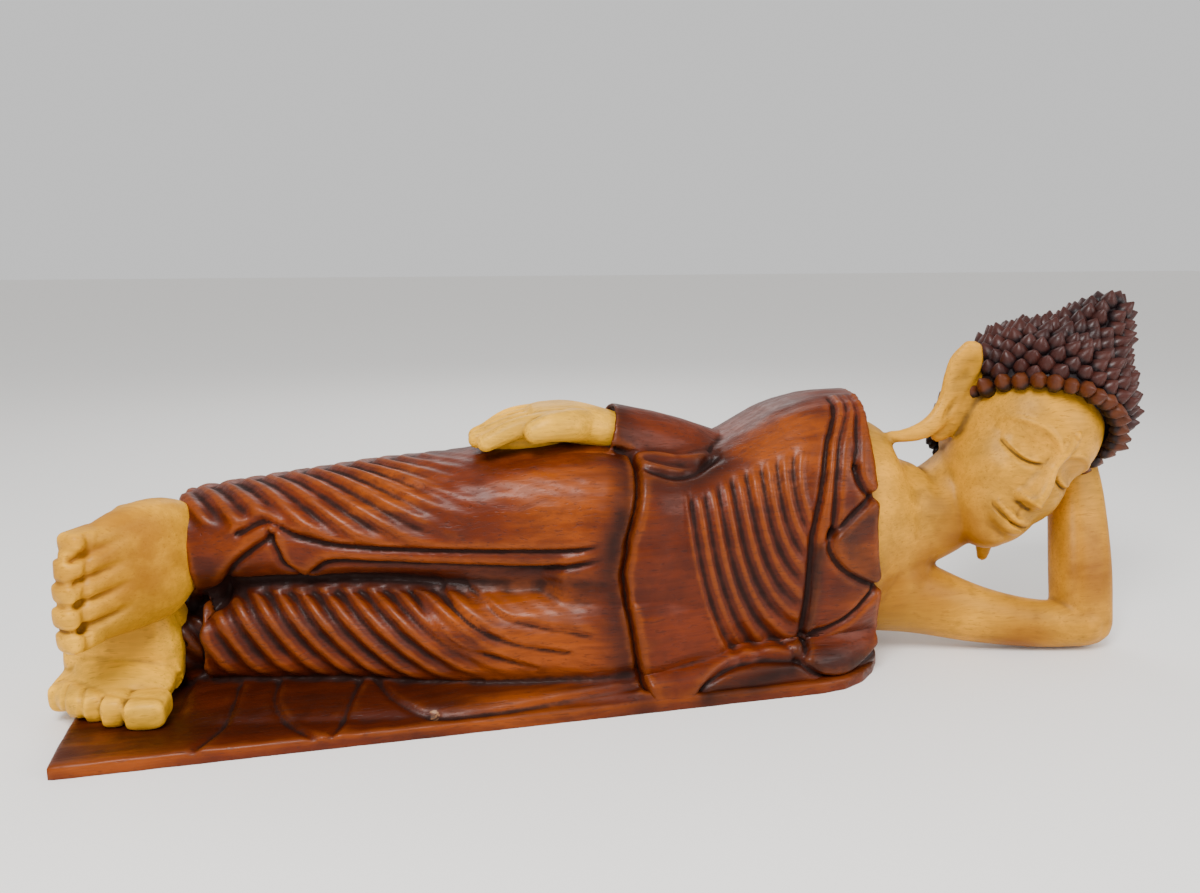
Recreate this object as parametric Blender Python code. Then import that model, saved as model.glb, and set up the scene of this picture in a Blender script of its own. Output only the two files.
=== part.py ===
"""Reclining Buddha, a wood carving. Figure, robe and base are one solid, cut from one block.

The figure lies along X with its head towards +X and its front towards -Y, on a thin board.
Free forms are worked out in the figure's own unit, one millimetre on a figure 530 mm long.
"""

import math

import bmesh
import bpy
import numpy as np
from mathutils import Matrix, Vector

# Driving sizes, in metres
LENGTH = 0.530
BASE_THICKNESS = 0.006
RIDGE_PITCH = 0.0105
RIDGE_HEIGHT = 0.0022
RING_PITCH = 0.0073
RING_HEIGHT = 0.0015
HEM_HEIGHT = 0.0022
GROOVE_DEPTH = 0.0016
FOOT_GROOVE = 0.0016
CUFF_DEPTH = 0.008
CURL_HEIGHT = 0.0080
CURL_PITCH = 0.0094

# How finely the block is worked, in metres, and how many faces it keeps
ROBE_VOXEL = 0.0020
SKIN_VOXEL = 0.0014
BLOCK_VOXEL = 0.0012
BLOCK_FACES = 9600

UNIT = LENGTH / 530

# How far the forms run below the level cut, in units
UNDERCUT = 4

# The figure's long forms. Each row is x, y, z, half depth and half height, in units
UPPER_LEG = [
    (-240, 24, 74, 25, 20),
    (-213, 20, 76, 27, 21),
    (-185, 17, 78, 29, 23.5),
    (-140, 10, 81, 33, 27),
    (-95, 4, 84, 38, 30),
    (-50, -1, 86, 43, 34),
    (-10, -4, 83, 47, 36),
    (20, -2, 78, 46, 36),
]
LOWER_LEG = [
    (-240, 24, 31, 26, 22),
    (-209, 20, 31, 28, 23),
    (-185, 17, 31, 30, 24),
    (-140, 9, 31, 33, 25),
    (-95, -1, 31, 39, 26),
    (-50, -7, 31, 43, 28),
    (-10, -10, 32, 46, 30),
    (20, -7, 36, 46, 34),
]
BETWEEN_LEGS = [
    (-206, 20, 55, 18, 16),
    (-140, 10, 56, 24, 16),
    (-60, -2, 58, 33, 16),
    (0, -4, 60, 38, 20),
]
TORSO = [
    (-24, -4, 62, 46, 50),
    (10, -4, 60, 49, 56),
    (42, -3, 60, 49, 57),
    (75, -3, 65, 50, 65),
    (98, -3, 70, 49, 69),
    (120, -2, 70, 46, 68),
    (150, -2, 70, 42, 62),
]
UPPER_ARM = [(132, 4, 112, 22, 24), (110, 5, 113, 23, 26), (76, 8, 109, 21, 22), (46, 7, 99, 19, 18)]
SLEEVE = [(46, 5, 100, 19, 18), (14, -3, 112, 18, 18), (-20, -9, 122, 16, 17), (-40, -10, 126, 15, 15)]
SKIRT = [
    (-212, 4, 3, 44, 7),
    (-120, -6, 4, 48, 9),
    (-40, -10, 5, 49, 12),
    (20, -7, 8, 53, 16),
    (75, -7, 9, 52, 18),
    (100, -6, 12, 46, 18),
    (118, -5, 14, 37, 17),
    (134, -3, 15, 24, 15),
]

# Level cuts that end the cloth: a point on each and the way its waste side faces
UPPER_CUFF = ((-215, 0, 75), (-1, 0, -0.11))
LOWER_CUFF = ((-208, 0, 31), (-1, 0, 0))
SHOULDER_EDGE = ((121, 0, 80), (1, -0.27, 0.09))
SLEEVE_END = ((-19, 0, 120), (-1, 0, 0.25))

# The bare chest and neck and the arm that props the head
NECK = [
    (92, -1, 66, 48, 62),
    (120, -2, 68, 42, 57),
    (138, -4, 68, 34, 45),
    (152, -6, 70, 27, 31),
    (168, -8, 74, 23.5, 24),
    (194, -10, 92, 22, 25),
]
LOWER_ARM = [
    (126, -10, 36, 27, 27),
    (152, -18, 28, 20, 20),
    (182, -27, 19, 14.5, 15.5),
    (212, -35, 14, 12.5, 13),
    (238, -40, 13.5, 13, 12.5),
]
FOREARM = [
    (240, -39, 13, 16, 12.5),
    (243, -30, 44, 16, 13),
    (248, -16, 76, 14.5, 12),
    (250, -6, 96, 13, 11),
]
PALM = [(250, -4, 92, 14, 10), (249, 6, 108, 17, 9), (242, 18, 126, 16, 7)]

# Where the head sits and how it leans, in units
HEAD_CENTRE = (204, -14, 105)
HEAD_SCALE = 0.95
KNOT_SHIFT = 3
HEAD_UP = (0.55, -0.06, 0.83)
HEAD_FRONT = (0.0, -1.0, -0.03)

# The feet, each in its own frame with X to the toes and Z up from the sole. The edges are those of
# the toes across the foot, from the big one's outer side to the little one's
UPPER_FOOT = {
    "heel": (-220, 26, 77),
    "ahead": (-0.58, -0.80, -0.05),
    "instep": (0.80, -0.58, 0.0),
    "edges": (28, 18, 7, -3, -13, -22),
    "tips": (79, 80, 80, 79, 77),
    "sole": [(6, 3, 9, 20, 9), (24, 3, 12, 25.5, 12), (46, 3, 10, 26.5, 10), (69, 3, 7.5, 25, 7.2)],
    "arch": [(12, 2, 10, 18, 9), (28, 2, 13, 20, 11), (44, 3, 10, 22, 9.5), (58, 3, 7, 22, 7)],
    "toe_start": 56,
    "creases": (66, 46, -6),
    "crease_depth": 2.1,
}
LOWER_FOOT = {
    "heel": (-243, 44, 5),
    "ahead": (-0.10, -0.995, 0.0),
    "instep": (0.0, 0.0, 1.0),
    "edges": (27.5, 10.5, -0.5, -9.5, -18.5, -28),
    "tips": (77, 73, 66, 58, 49),
    "sole": [
        (6, 0, 13, 16, 13),
        (24, 3, 14, 22, 14),
        (40, 0, 11, 27, 11),
        (52, 5, 8.5, 22.5, 8.5),
        (62, 9, 7.5, 18, 7.5),
    ],
    "arch": [(10, -2, 24, 18, 21), (28, 0, 24, 21, 18), (40, 2, 15, 22, 11), (54, 6, 9, 19, 7)],
    "toe_start": 40,
    "creases": (0, 0, 0),
    "crease_depth": 0,
}


def smooth_step(low, high, value):
    """0 at low, 1 at high and a smooth rise between them."""
    share = np.clip((value - low) / (high - low), 0, 1)
    return share * share * (3 - 2 * share)


def along_curve(rows, count):
    """Rows read along a smooth curve that passes through all of them."""
    rows = np.array(rows, float)
    last = len(rows) - 1
    where = np.linspace(0, last, count)
    index = np.minimum(where.astype(int), last - 1)
    t = (where - index)[:, None]
    padded = np.vstack([2 * rows[0] - rows[1], rows, 2 * rows[-1] - rows[-2]])
    before, start, end, after = (padded[index + k] for k in range(4))
    bend = 2 * before - 5 * start + 4 * end - after
    twist = 3 * start - before - 3 * end + after
    return 0.5 * (2 * start + (end - before) * t + bend * t**2 + twist * t**3)


def unit_rows(rows):
    """Each row as a direction of length one."""
    return rows / np.linalg.norm(rows, axis=-1, keepdims=True)


def add_rings(bm, rings):
    """A closed skin over rings of points, with a point at each end."""
    loops = [[bm.verts.new(point) for point in ring] for ring in rings]
    for near, far in zip(loops, loops[1:]):
        for k in range(len(near)):
            m = (k + 1) % len(near)
            bm.faces.new((near[k], near[m], far[m], far[k]))
    bm.faces.new(reversed(loops[0]))
    bm.faces.new(loops[-1])


def add_tube(bm, rows, sides=28, squareness=2.0, upright=(0, 0, 1), spacing=4, blunt=1.0):
    """A limb: round-ended, along rows of x, y, z, half width and half height."""
    path = along_curve(rows, spacing * len(rows))
    centres, halves = path[:, :3], path[:, 3:]
    ahead = unit_rows(np.gradient(centres, axis=0))
    side = unit_rows(np.cross(upright, ahead))
    up = np.cross(ahead, side)
    turns = np.arange(sides) * 2 * math.pi / sides
    across = np.sign(np.cos(turns)) * np.abs(np.cos(turns)) ** (2 / squareness)
    upward = np.sign(np.sin(turns)) * np.abs(np.sin(turns)) ** (2 / squareness)
    stops = [(0, -a) for a in (80, 55, 28)] + [(k, 0) for k in range(len(path))]
    stops += [(len(path) - 1, a) for a in (28, 55, 80)]
    rings = []
    for k, angle in stops:
        wide, high = halves[k] * math.cos(math.radians(angle))
        centre = centres[k] + ahead[k] * blunt * halves[k].min() * math.sin(math.radians(angle))
        rings.append(centre + wide * across[:, None] * side[k] + high * upward[:, None] * up[k])
    add_rings(bm, rings)


def add_cut_tube(bm, rows, cut, sides=28, squareness=2.0):
    """A limb that ends level at a cut."""
    limb = bmesh.new()
    add_tube(limb, rows, sides, squareness)
    point, waste = cut
    everything = [*limb.verts, *limb.edges, *limb.faces]
    bmesh.ops.bisect_plane(limb, geom=everything, plane_co=point, plane_no=waste, clear_outer=True)
    bmesh.ops.holes_fill(limb, edges=[e for e in limb.edges if e.is_boundary])
    add_copy(bm, limb, Matrix.Identity(4))


def add_ball(bm, centre, halves):
    """An egg-shaped mass with the given half sizes."""
    place = Matrix.Translation(centre)
    swell = place @ Matrix.Diagonal((*halves, 1))
    bmesh.ops.create_icosphere(bm, subdivisions=4, radius=1, matrix=swell)


def frame_matrix(origin, x_axis, z_axis):
    """The matrix that carries a form's own X, Y and Z to its place in the figure."""
    x_axis = Vector(x_axis).normalized()
    y_axis = Vector(z_axis).cross(x_axis).normalized()
    z_axis = x_axis.cross(y_axis)
    turn = Matrix((x_axis, y_axis, z_axis)).transposed().to_4x4()
    return Matrix.Translation(origin) @ turn


def head_matrix():
    """From the head's own frame, with X to its left and Z to its crown, to the figure's."""
    up = Vector(HEAD_UP).normalized()
    left = up.cross(Vector(HEAD_FRONT)).normalized()
    return frame_matrix(HEAD_CENTRE, left, up) @ Matrix.Scale(HEAD_SCALE, 4)


def fused(bm, voxel, rounds):
    """The forms in bm melted into one skin, with the joins between them softened."""
    mesh = bpy.data.meshes.new("forms")
    bm.to_mesh(mesh)
    bm.free()
    blank = bpy.data.objects.new("forms", mesh)
    bpy.context.scene.collection.objects.link(blank)
    melt = blank.modifiers.new("melt", "REMESH")
    melt.mode = "VOXEL"
    melt.voxel_size = voxel / UNIT
    soften = blank.modifiers.new("soften", "SMOOTH")
    soften.factor = 0.5
    soften.iterations = rounds
    graph = bpy.context.evaluated_depsgraph_get()
    skin = bpy.data.meshes.new_from_object(blank.evaluated_get(graph))
    bpy.data.objects.remove(blank)
    return skin


def points_of(mesh):
    """A mesh's points and the directions that they face."""
    points = np.zeros(len(mesh.vertices) * 3, np.float32)
    faces = np.zeros(len(mesh.vertices) * 3, np.float32)
    mesh.vertices.foreach_get("co", points)
    mesh.vertex_normals.foreach_get("vector", faces)
    return points.reshape(-1, 3).astype(float), faces.reshape(-1, 3).astype(float)


def set_points(mesh, points):
    """Moves a mesh's points."""
    mesh.vertices.foreach_set("co", points.astype(np.float32).ravel())
    mesh.update()


def line_distance(points, stops):
    """How far each 2-D point lies from the line through the stops."""
    best = np.full(len(points), 1e9)
    for start, end in zip(np.array(stops[:-1], float), np.array(stops[1:], float)):
        step = end - start
        share = np.clip((points - start) @ step / (step @ step), 0, 1)
        best = np.minimum(best, np.linalg.norm(points - start - share[:, None] * step, axis=1))
    return best


def limb_angle(points, rows):
    """The angle round a limb, 0 in front and positive upwards, and the limb's mean half width."""
    rows = np.array(rows, float)
    middle_y, middle_z, deep, high = (np.interp(points[:, 0], rows[:, 0], rows[:, k]) for k in (1, 2, 3, 4))
    angle = np.arctan2(points[:, 2] - middle_z, middle_y - points[:, 1])
    return angle, (deep + high) / 2


def fan_of_ridges(x, depth, lean, sweep, pitch):
    """Ridges that start along the top of a limb, run down it and sweep round towards the hip."""
    near, grow = sweep
    start = (x - lean * depth - near * depth**2 - grow * 200 * depth**2) / (1 + grow * depth**2)
    return 0.5 + 0.5 * np.cos(2 * math.pi * start / pitch)


# Lines cut in the cloth, seen from the front, as x and z in units
TUNIC_EDGE = [
    (-8, 150),
    (-8, 113),
    (-11, 99),
    (-16, 81),
    (-19, 65),
    (-16, 44),
    (-12, 18),
    (-7, 4),
    (-4, -5),
]
PLEATS = [
    [(98, 142), (96, 134), (86, 119), (80, 97), (75, 76), (74, 50), (73, 23)],
    [(104, 142), (102, 134), (92, 120), (87, 100), (85, 80)],
    [(109, 142), (107, 134), (102, 124), (98, 108)],
]

# Folds of the shawl and the sleeve. The cloth on the left of each line lies over the other side
SHAWL_FOLDS = [
    [(98, 108), (99, 102), (103, 97), (108, 94)],
    [(108, 95), (97, 87), (88, 80), (84, 77)],
    [(84, 78), (83, 71), (88, 63), (97, 56), (111, 49)],
    [(112, 49), (104, 40), (96, 32), (86, 27), (75, 25)],
    [(12, 3), (19, 11), (31, 17), (49, 19), (68, 18), (73, 23)],
    [(68, 17), (80, 8), (96, 6), (118, 16)],
]
SLEEVE_FOLDS = [
    [(-15, 119), (-3, 115), (12, 112), (24, 112), (34, 114)],
    [(-10, 112), (-3, 108), (8, 105), (20, 106), (31, 111)],
]
LEG_FOLDS = [
    [(-196, 60), (-190, 74), (-177, 85), (-168, 78), (-150, 74), (-105, 72), (-72, 71), (-30, 71)],
    [(-177, 85), (-172, 76), (-163, 68)],
    [(-148, 66), (-110, 66), (-70, 65), (-40, 66)],
]
SEAM = [(-212, 52), (-199, 55), (-189, 58), (-152, 59), (-96, 58), (-14, 56)]


def side_at(stops, z):
    """Where a line that runs downwards stands along X at each height."""
    x, height = np.array(stops, float)[::-1].T
    return np.interp(z, height, x)


def pleat_edge(z):
    """Where the shawl's border starts along X at each height."""
    return side_at(PLEATS[0], z)


def carve(points, lines, wide):
    """Sharp-bottomed grooves along lines on 2-D points, 1 in the middle of each."""
    cut = np.zeros(len(points))
    for stops in lines:
        cut = np.maximum(cut, np.exp(-((line_distance(points, stops) / wide) ** 2)))
    return cut


def robe_relief(points, facing):
    """How far the carving stands out from the plain robe at each point, in units."""
    x, y, z = points.T
    front = smooth_step(0.05, 0.5, -facing[:, 1])
    pitch = RIDGE_PITCH / UNIT
    ridge = RIDGE_HEIGHT / UNIT
    groove = GROOVE_DEPTH / UNIT
    hem = HEM_HEIGHT / UNIT
    seam = 58
    legs = 1 - smooth_step(-30, -16, x)
    above_base = smooth_step(7, 12, z)

    angle, half = limb_angle(points, UPPER_LEG)
    depth = np.abs(math.radians(98) - angle) * half
    fan = fan_of_ridges(x, depth, 0.62, (0.004, 0.00014), pitch)
    strong = 0.08 + 0.92 * (1 - smooth_step(-135, -80, x))
    upper = smooth_step(seam + 6, seam + 16, z) * (1 - smooth_step(-34, -14, x))
    relief = ridge * strong * upper * fan * (1 - smooth_step(55, 75, depth))

    angle, half = limb_angle(points, LOWER_LEG)
    depth = np.clip(math.radians(62) - angle, 0, 3) * half
    fan = fan_of_ridges(x, depth, 0.60, (0.003, 0.00014), pitch)
    strong = 0.10 + 0.90 * (1 - smooth_step(-120, -62, x))
    lower = (1 - smooth_step(seam - 8, seam - 2, z)) * smooth_step(10, 16, z)
    relief += ridge * strong * lower * fan * legs * front

    # The tunic's folds hang from the shoulder in nested half rings
    reach = np.hypot(x - 84, (z - 102) / 1.6)
    rings = 0.5 + 0.5 * np.cos(2 * math.pi * (reach - 73) * UNIT / RING_PITCH)
    tunic = front * smooth_step(10, 16, reach) * (1 - smooth_step(75, 79, reach))
    tunic = tunic * (1 - smooth_step(-7, -2, x - pleat_edge(z))) * smooth_step(14, 26, z)
    relief += RING_HEIGHT / UNIT * rings * tunic

    # Behind, fewer and broader folds run from the shoulder down to the feet
    back = smooth_step(0.25, 0.7, facing[:, 1]) * smooth_step(14, 24, z) * smooth_step(-206, -190, x)
    back_reach = np.hypot(x - 96, 1.5 * (z - 118))
    relief += 0.6 * ridge * back * (0.5 + 0.5 * np.cos(2 * math.pi * back_reach / (2.2 * pitch)))

    # The tunic's end stands proud of the leg cloth along a wavy edge
    past_edge = x - side_at(TUNIC_EDGE, z)
    step = smooth_step(-1.5, 1.5, past_edge) * (1 - smooth_step(8, 30, past_edge))
    relief += hem * front * above_base * step
    gutter = np.exp(-(((past_edge + 2.5) / 2.4) ** 2)) * (1 - smooth_step(112, 120, z))
    relief -= 1.6 * groove * front * gutter

    # The shawl over the shoulder: its border stands proud of the rings, with folded ends
    shawl = smooth_step(-1.5, 1.0, x - pleat_edge(z)) * smooth_step(20, 26, z)
    relief += 0.7 * hem * front * shawl
    seen = points[:, [0, 2]]
    relief -= groove * front * carve(seen, [*PLEATS, *SLEEVE_FOLDS], 1.8)
    relief -= 1.2 * groove * front * carve(seen, SHAWL_FOLDS, 2.0)
    relief -= groove * front * (1 - smooth_step(-52, -26, x)) * carve(seen, LEG_FOLDS, 2.0)
    relief -= 2.0 * groove * front * carve(seen, [SEAM], 2.6)
    relief -= 4.0 * groove * front * carve(seen, [SEAM], 7) * (1 - smooth_step(-200, -176, x))
    return relief


def hollow_ends(points, facing):
    """How far the cloth is hollowed along X at the two cuffs and at the sleeve, in units."""
    deep = np.zeros(len(points))
    x, y, z = points.T
    for row, share in ((UPPER_LEG[1], 1), (LOWER_LEG[1], 1), (SLEEVE[2], 0.3)):
        end_x, middle_y, middle_z, wide, high = row
        reach = np.hypot((y - middle_y) / wide, (z - middle_z) / high)
        close = (np.abs(x - end_x) < 12) & (facing[:, 0] < -0.6)
        hollow = close * (1 - smooth_step(0.74, 0.9, reach))
        deep = np.maximum(deep, share * CUFF_DEPTH / UNIT * hollow)
    return deep


# Hems cut in the top of the board, as x and y
BOARD_LINES = [
    [(-194, -12), (-195, -28), (-198, -44), (-208, -64)],
    [(-176, -12), (-177, -30), (-171, -46), (-157, -64)],
    [(-138, -20), (-143, -38), (-147, -52), (-152, -64)],
    [(-131, -24), (-124, -42), (-110, -54), (-90, -57), (-50, -56), (-15, -56)],
]


def board_relief(points, facing):
    """The hems cut in the top of the board, in units."""
    x, y, z = points.T
    top = smooth_step(0.2, 0.6, facing[:, 2]) * (1 - smooth_step(16, 22, z)) * smooth_step(2, 4, z)
    top = top * (x < 10)
    return -GROOVE_DEPTH / UNIT * top * carve(points[:, :2], BOARD_LINES, 2.0)


def board_outline():
    """The board seen from above: a straight front edge, a square foot end and a round head end."""
    head = [(78 + 50 * math.sin(a), -6 - 56 * math.cos(a)) for a in np.linspace(0, math.pi, 13)]
    foot = [(-240, 50), (-256, 42), (-264, 26), (-266, -10), (-266, -40), (-265, -63)]
    return head + foot


def add_board(bm, outline, thickness):
    """A flat board with the given outline. It starts below the level where the block is cut."""
    low = [bm.verts.new((x, y, -UNDERCUT)) for x, y in outline]
    bm.faces.new(reversed(low))
    face = bm.faces.new([bm.verts.new((x, y, thickness)) for x, y in outline])
    high = list(face.verts)
    for k in range(len(low)):
        m = (k + 1) % len(low)
        bm.faces.new((low[k], low[m], high[m], high[k]))


def robe_skin():
    """The robe and the board, carved."""
    bm = bmesh.new()
    add_board(bm, board_outline(), BASE_THICKNESS / UNIT)
    add_cut_tube(bm, SKIRT, SHOULDER_EDGE, squareness=2.4)
    add_cut_tube(bm, LOWER_LEG, LOWER_CUFF, squareness=2.8)
    add_cut_tube(bm, UPPER_LEG, UPPER_CUFF, squareness=2.3)
    add_tube(bm, BETWEEN_LEGS, squareness=3)
    add_cut_tube(bm, TORSO, SHOULDER_EDGE, sides=36, squareness=2.5)
    add_ball(bm, (-4, -3, 66), (52, 50, 52))
    add_cut_tube(bm, UPPER_ARM, SHOULDER_EDGE)
    add_cut_tube(bm, SLEEVE, SLEEVE_END)
    skin = fused(bm, ROBE_VOXEL, 6)
    points, facing = points_of(skin)
    points += facing * (robe_relief(points, facing) + board_relief(points, facing))[:, None]
    points[:, 0] += hollow_ends(points, facing)
    set_points(skin, points)
    return skin


def foot_matrix(foot):
    """From a foot's own frame, with X to its toes and Z up from its sole, to the figure's."""
    return frame_matrix(foot["heel"], foot["ahead"], foot["instep"])


def add_foot(bm, foot):
    """A bare foot with blunt toes side by side, the big toe on the foot's own left."""
    form = bmesh.new()
    add_tube(form, foot["sole"], squareness=2.8)
    add_tube(form, foot["arch"])
    for inner, outer, tip in zip(foot["edges"], foot["edges"][1:], foot["tips"]):
        middle, half = (inner + outer) / 2, (inner - outer) / 2 + 0.4
        start = min(foot["toe_start"], tip - 14)
        stops = ((start, middle, 8), (tip - 7, middle, 8), (tip - 2.5, middle, 7.6))
        add_tube(form, [(*stop, half, 6.8) for stop in stops], sides=20, squareness=3.2, blunt=0.55)
    add_copy(bm, form, foot_matrix(foot))


def foot_relief(points, facing, foot):
    """The notches between a foot's toes and the soft creases that slant back from them."""
    back = np.array(foot_matrix(foot).inverted())
    own = points @ back[:3, :3].T + back[:3, 3]
    edges, tips = foot["edges"], foot["tips"]
    upward = smooth_step(0.1, 0.5, facing @ np.array(foot["instep"]))
    inside = (own[:, 1] < edges[0]) & (own[:, 1] > edges[-1]) & (own[:, 2] > -3) & (own[:, 2] < 27)
    notches = [[(max(pair) - 12, edge), (90, edge)] for edge, *pair in zip(edges[1:-1], tips, tips[1:])]
    relief = -FOOT_GROOVE / UNIT * carve(own[:, :2], notches, 1.4)
    root, far, lean = foot["creases"]
    creases = [[(root, edge), (far, edge + lean)] for edge in edges[1:-1]]
    if root:
        fade = smooth_step(far - 4, root - 4, own[:, 0]) * smooth_step(root + 3, root - 1, own[:, 0])
        relief -= foot["crease_depth"] * upward * fade * carve(own[:, :2], creases, 2.0)
    return relief * inside


def feet_skin():
    """Both feet, one above the other, with the ankles that run into the robe."""
    bm = bmesh.new()
    add_foot(bm, UPPER_FOOT)
    add_foot(bm, LOWER_FOOT)
    add_tube(bm, [(-236, 14, 78, 17, 19), (-222, 17, 76, 16, 15), (-180, 18, 76, 15, 13)])
    add_tube(bm, [(-222, 8, 34, 17, 20), (-206, 16, 31, 15, 16), (-180, 18, 31, 15, 15)])
    add_tube(bm, [(-258, 8, 20, 13, 18), (-244, 5, 27, 15, 24), (-226, 1, 29, 14, 25)], squareness=2.6)
    skin = fused(bm, SKIN_VOXEL, 3)
    points, facing = points_of(skin)
    depth = foot_relief(points, facing, UPPER_FOOT) + foot_relief(points, facing, LOWER_FOOT)
    set_points(skin, points + facing * depth[:, None])
    return skin


def hand_skin():
    """The right hand, palm down on the thigh."""
    bm = bmesh.new()
    wrist = [(-2, -8, 119, 10, 10), (-24, -9, 127, 13, 10)]
    add_tube(bm, wrist + [(-38, -8, 130, 18, 10), (-50, -7, 130.5, 19, 9)])
    add_ball(bm, (-54, -6, 119), (24, 17, 12))
    for y, reach in ((-21, -78), (-11.5, -81), (-2, -80), (7, -75)):
        finger = [(-44, y, 132, 5, 5.6), (-62, y, 130, 4.6, 5.2), (reach, y, 123.5, 4.2, 4.4)]
        add_tube(bm, finger, sides=12)
    thumb = [(-30, -17, 129, 6, 8), (-38, -23, 130.5, 6.6, 8)]
    thumb += [(-48, -26.5, 130.5, 6, 7), (-56, -27, 128.5, 5, 5.6)]
    add_tube(bm, thumb, sides=12)
    return fused(bm, SKIN_VOXEL, 2)


def add_face(bm):
    """The plain head without hair, in its own frame, as an egg that narrows to the chin."""
    add_ball(bm, (0, 6, 10), (40, 43, 44))
    add_ball(bm, (0, -4, 18), (37.5, 37, 38))
    add_ball(bm, (0, -7, -8), (35, 31, 40))
    add_ball(bm, (0, -12, -28), (26, 25, 28))
    add_ball(bm, (0, -18, -40), (17, 16, 16))


def add_ears(bm):
    """Long leaf-shaped ears. The right one's lobe reaches the shoulder and the left one's hangs free."""
    front = (0, 1, 0)
    leaf = [(-56, -4, 33, 6, 3.4), (-52, -3, 26, 9, 4), (-50, -3, 14, 9.5, 4)]
    leaf += [(-46, -3, 0, 8.5, 4), (-47, -4, -11, 7.5, 4), (-54, -4, -19, 6, 3.8)]
    leaf += [(-62, -4, -27, 4, 3.4), (-68, -4, -32, 3.2, 3.2)]
    add_tube(bm, leaf, sides=16, upright=front)
    add_ball(bm, (-40, 1, 6), (8, 6, 22))
    top = [(45, -2, 32, 5, 3.4), (48, 0, 20, 8, 4), (47, 2, 6, 8, 4), (42, 6, -6, 6, 4.4)]
    add_tube(bm, top, upright=front)
    lobe = [(42, 6, -6, 6, 4.4), (33, 14, -20, 5, 4), (29, 16, -35, 5, 4)]
    add_tube(bm, lobe + [(36, 17, -47, 6.2, 4), (42, 17, -57, 3.6, 3)], upright=front)


def bump(across, along, wide, high):
    """A smooth swelling, 1 in the middle."""
    return np.exp(-((across / wide) ** 2) - (along / high) ** 2)


def face_relief(points):
    """How far each point of the head's front comes forward, in the head's own frame."""
    x, y, z = points.T
    side = np.abs(x)
    # Cheeks, chin and the mound that carries the mouth
    relief = 2.6 * bump(side - 19, z + 16, 11, 11) + 2.8 * bump(x, z + 48, 9, 6)
    relief += 2.4 * bump(x, z + 34, 14, 9)
    # Eye sockets under long arched brows
    relief -= 3.4 * bump(side - 15, z - 4, 11, 8)
    brow = 8.5 + 7 * (1 - ((side - 17) / 17) ** 2)
    ends = smooth_step(2, 6, side) * (1 - smooth_step(27, 33, side))
    relief += 1.7 * np.exp(-(((z - brow) / 2.1) ** 2)) * ends
    # Closed lids: long low domes that end at a lash line, with a soft lower lid
    dome = np.clip(1 - ((side - 16) / 11.5) ** 2, 0, 1)
    above = z - (0.2 - 3.4 * dome)
    fall = np.exp(-((np.maximum(above - 3, 0) / 4) ** 2))
    relief += 2.7 * dome**0.6 * smooth_step(-0.8, 1.0, above) * fall
    relief -= 1.1 * np.exp(-(((above + 0.9) / 0.9) ** 2)) * smooth_step(0, 0.25, dome)
    relief += 0.9 * dome * np.exp(-(((above + 4.2) / 2) ** 2))
    # The nose: a ridge that widens and rises to its tip, with a wing on each side
    rise = smooth_step(18, -18, z)
    ridge = (3.0 + 7.8 * rise**1.4) * smooth_step(-24.5, -20.5, z) * smooth_step(26, 10, z)
    relief += ridge * np.exp(-((side / (3.2 + 2.3 * rise)) ** 2.6))
    relief += 3.8 * bump(side - 6.4, z + 20, 2.8, 3.0)
    relief -= 1.2 * bump(side - 3.4, z + 23.6, 1.4, 1.0)
    # Lips with a bow in the upper one, a line between them and corners that turn up
    smile = -35.2 + 2.6 * (side / 13) ** 2
    bow = 2.6 - 0.7 * np.exp(-((side / 2) ** 2)) + 0.5 * np.exp(-(((side - 4) / 2) ** 2))
    taper = np.sqrt(np.clip(1 - (side / 13.5) ** 2, 0, 1))
    relief += 2.4 * taper * np.exp(-(((z - smile - 2.3) / bow) ** 4))
    relief += 2.9 * taper * np.exp(-(((z - smile + 2.7) / 2.7) ** 4)) * smooth_step(13, 9, side)
    relief -= 1.3 * taper * np.exp(-(((z - smile) / 0.9) ** 2))
    relief -= 1.6 * bump(np.maximum(side - 12.5, 0), z - smile - 0.6, 1.6, 1.0)
    relief -= 1.3 * bump(x, z + 43, 8, 2)
    relief -= 0.7 * bump(x, z + 28, 1.6, 3)
    # The small round mark between the brows
    relief += 1.5 * np.sqrt(np.clip(1 - (x / 2.3) ** 2 - ((z - 22) / 2.3) ** 2, 0, 1))
    front = smooth_step(-8, -18, y) * smooth_step(-60, -54, z) * smooth_step(38, 30, side)
    return relief * front


def bust_skin():
    """Chest, neck, head, ears and the arm that props the head."""
    bm = bmesh.new()
    place = head_matrix()
    add_face(bm)
    add_ears(bm)
    bm.transform(place)
    add_tube(bm, NECK, sides=36, squareness=2.2)
    add_ball(bm, (134, -10, 40), (28, 27, 24))
    add_tube(bm, LOWER_ARM)
    add_tube(bm, FOREARM, squareness=2.6, upright=(0, 1, 0))
    add_tube(bm, PALM, upright=(0, 1, 0))
    for k in range(4):
        shift = Vector((9 - 6.5 * k, 0, 3.2 * k))
        reach = [Vector((244, 17, 116)), Vector((236, 27, 132)), Vector((226, 32, 146))]
        add_tube(bm, [(*(stop + shift), 4.6, 4.2) for stop in reach], sides=12)
    skin = fused(bm, SKIN_VOXEL, 8)
    points, facing = points_of(skin)
    back = np.array(place.inverted())
    own = points @ back[:3, :3].T + back[:3, 3]
    own[:, 1] -= face_relief(own)
    out = np.array(place)
    set_points(skin, own @ out[:3, :3].T + out[:3, 3])
    return skin


# The hair cap's outline from crown to nape, as half width and height in the head's frame
CAP = [
    (2, 101),
    (8, 96),
    (13, 87),
    (18, 77),
    (25, 68),
    (34, 60),
    (40, 50),
    (43, 35),
    (43, 18),
    (41, 2),
    (38, -14),
    (30, -25),
]


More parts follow.
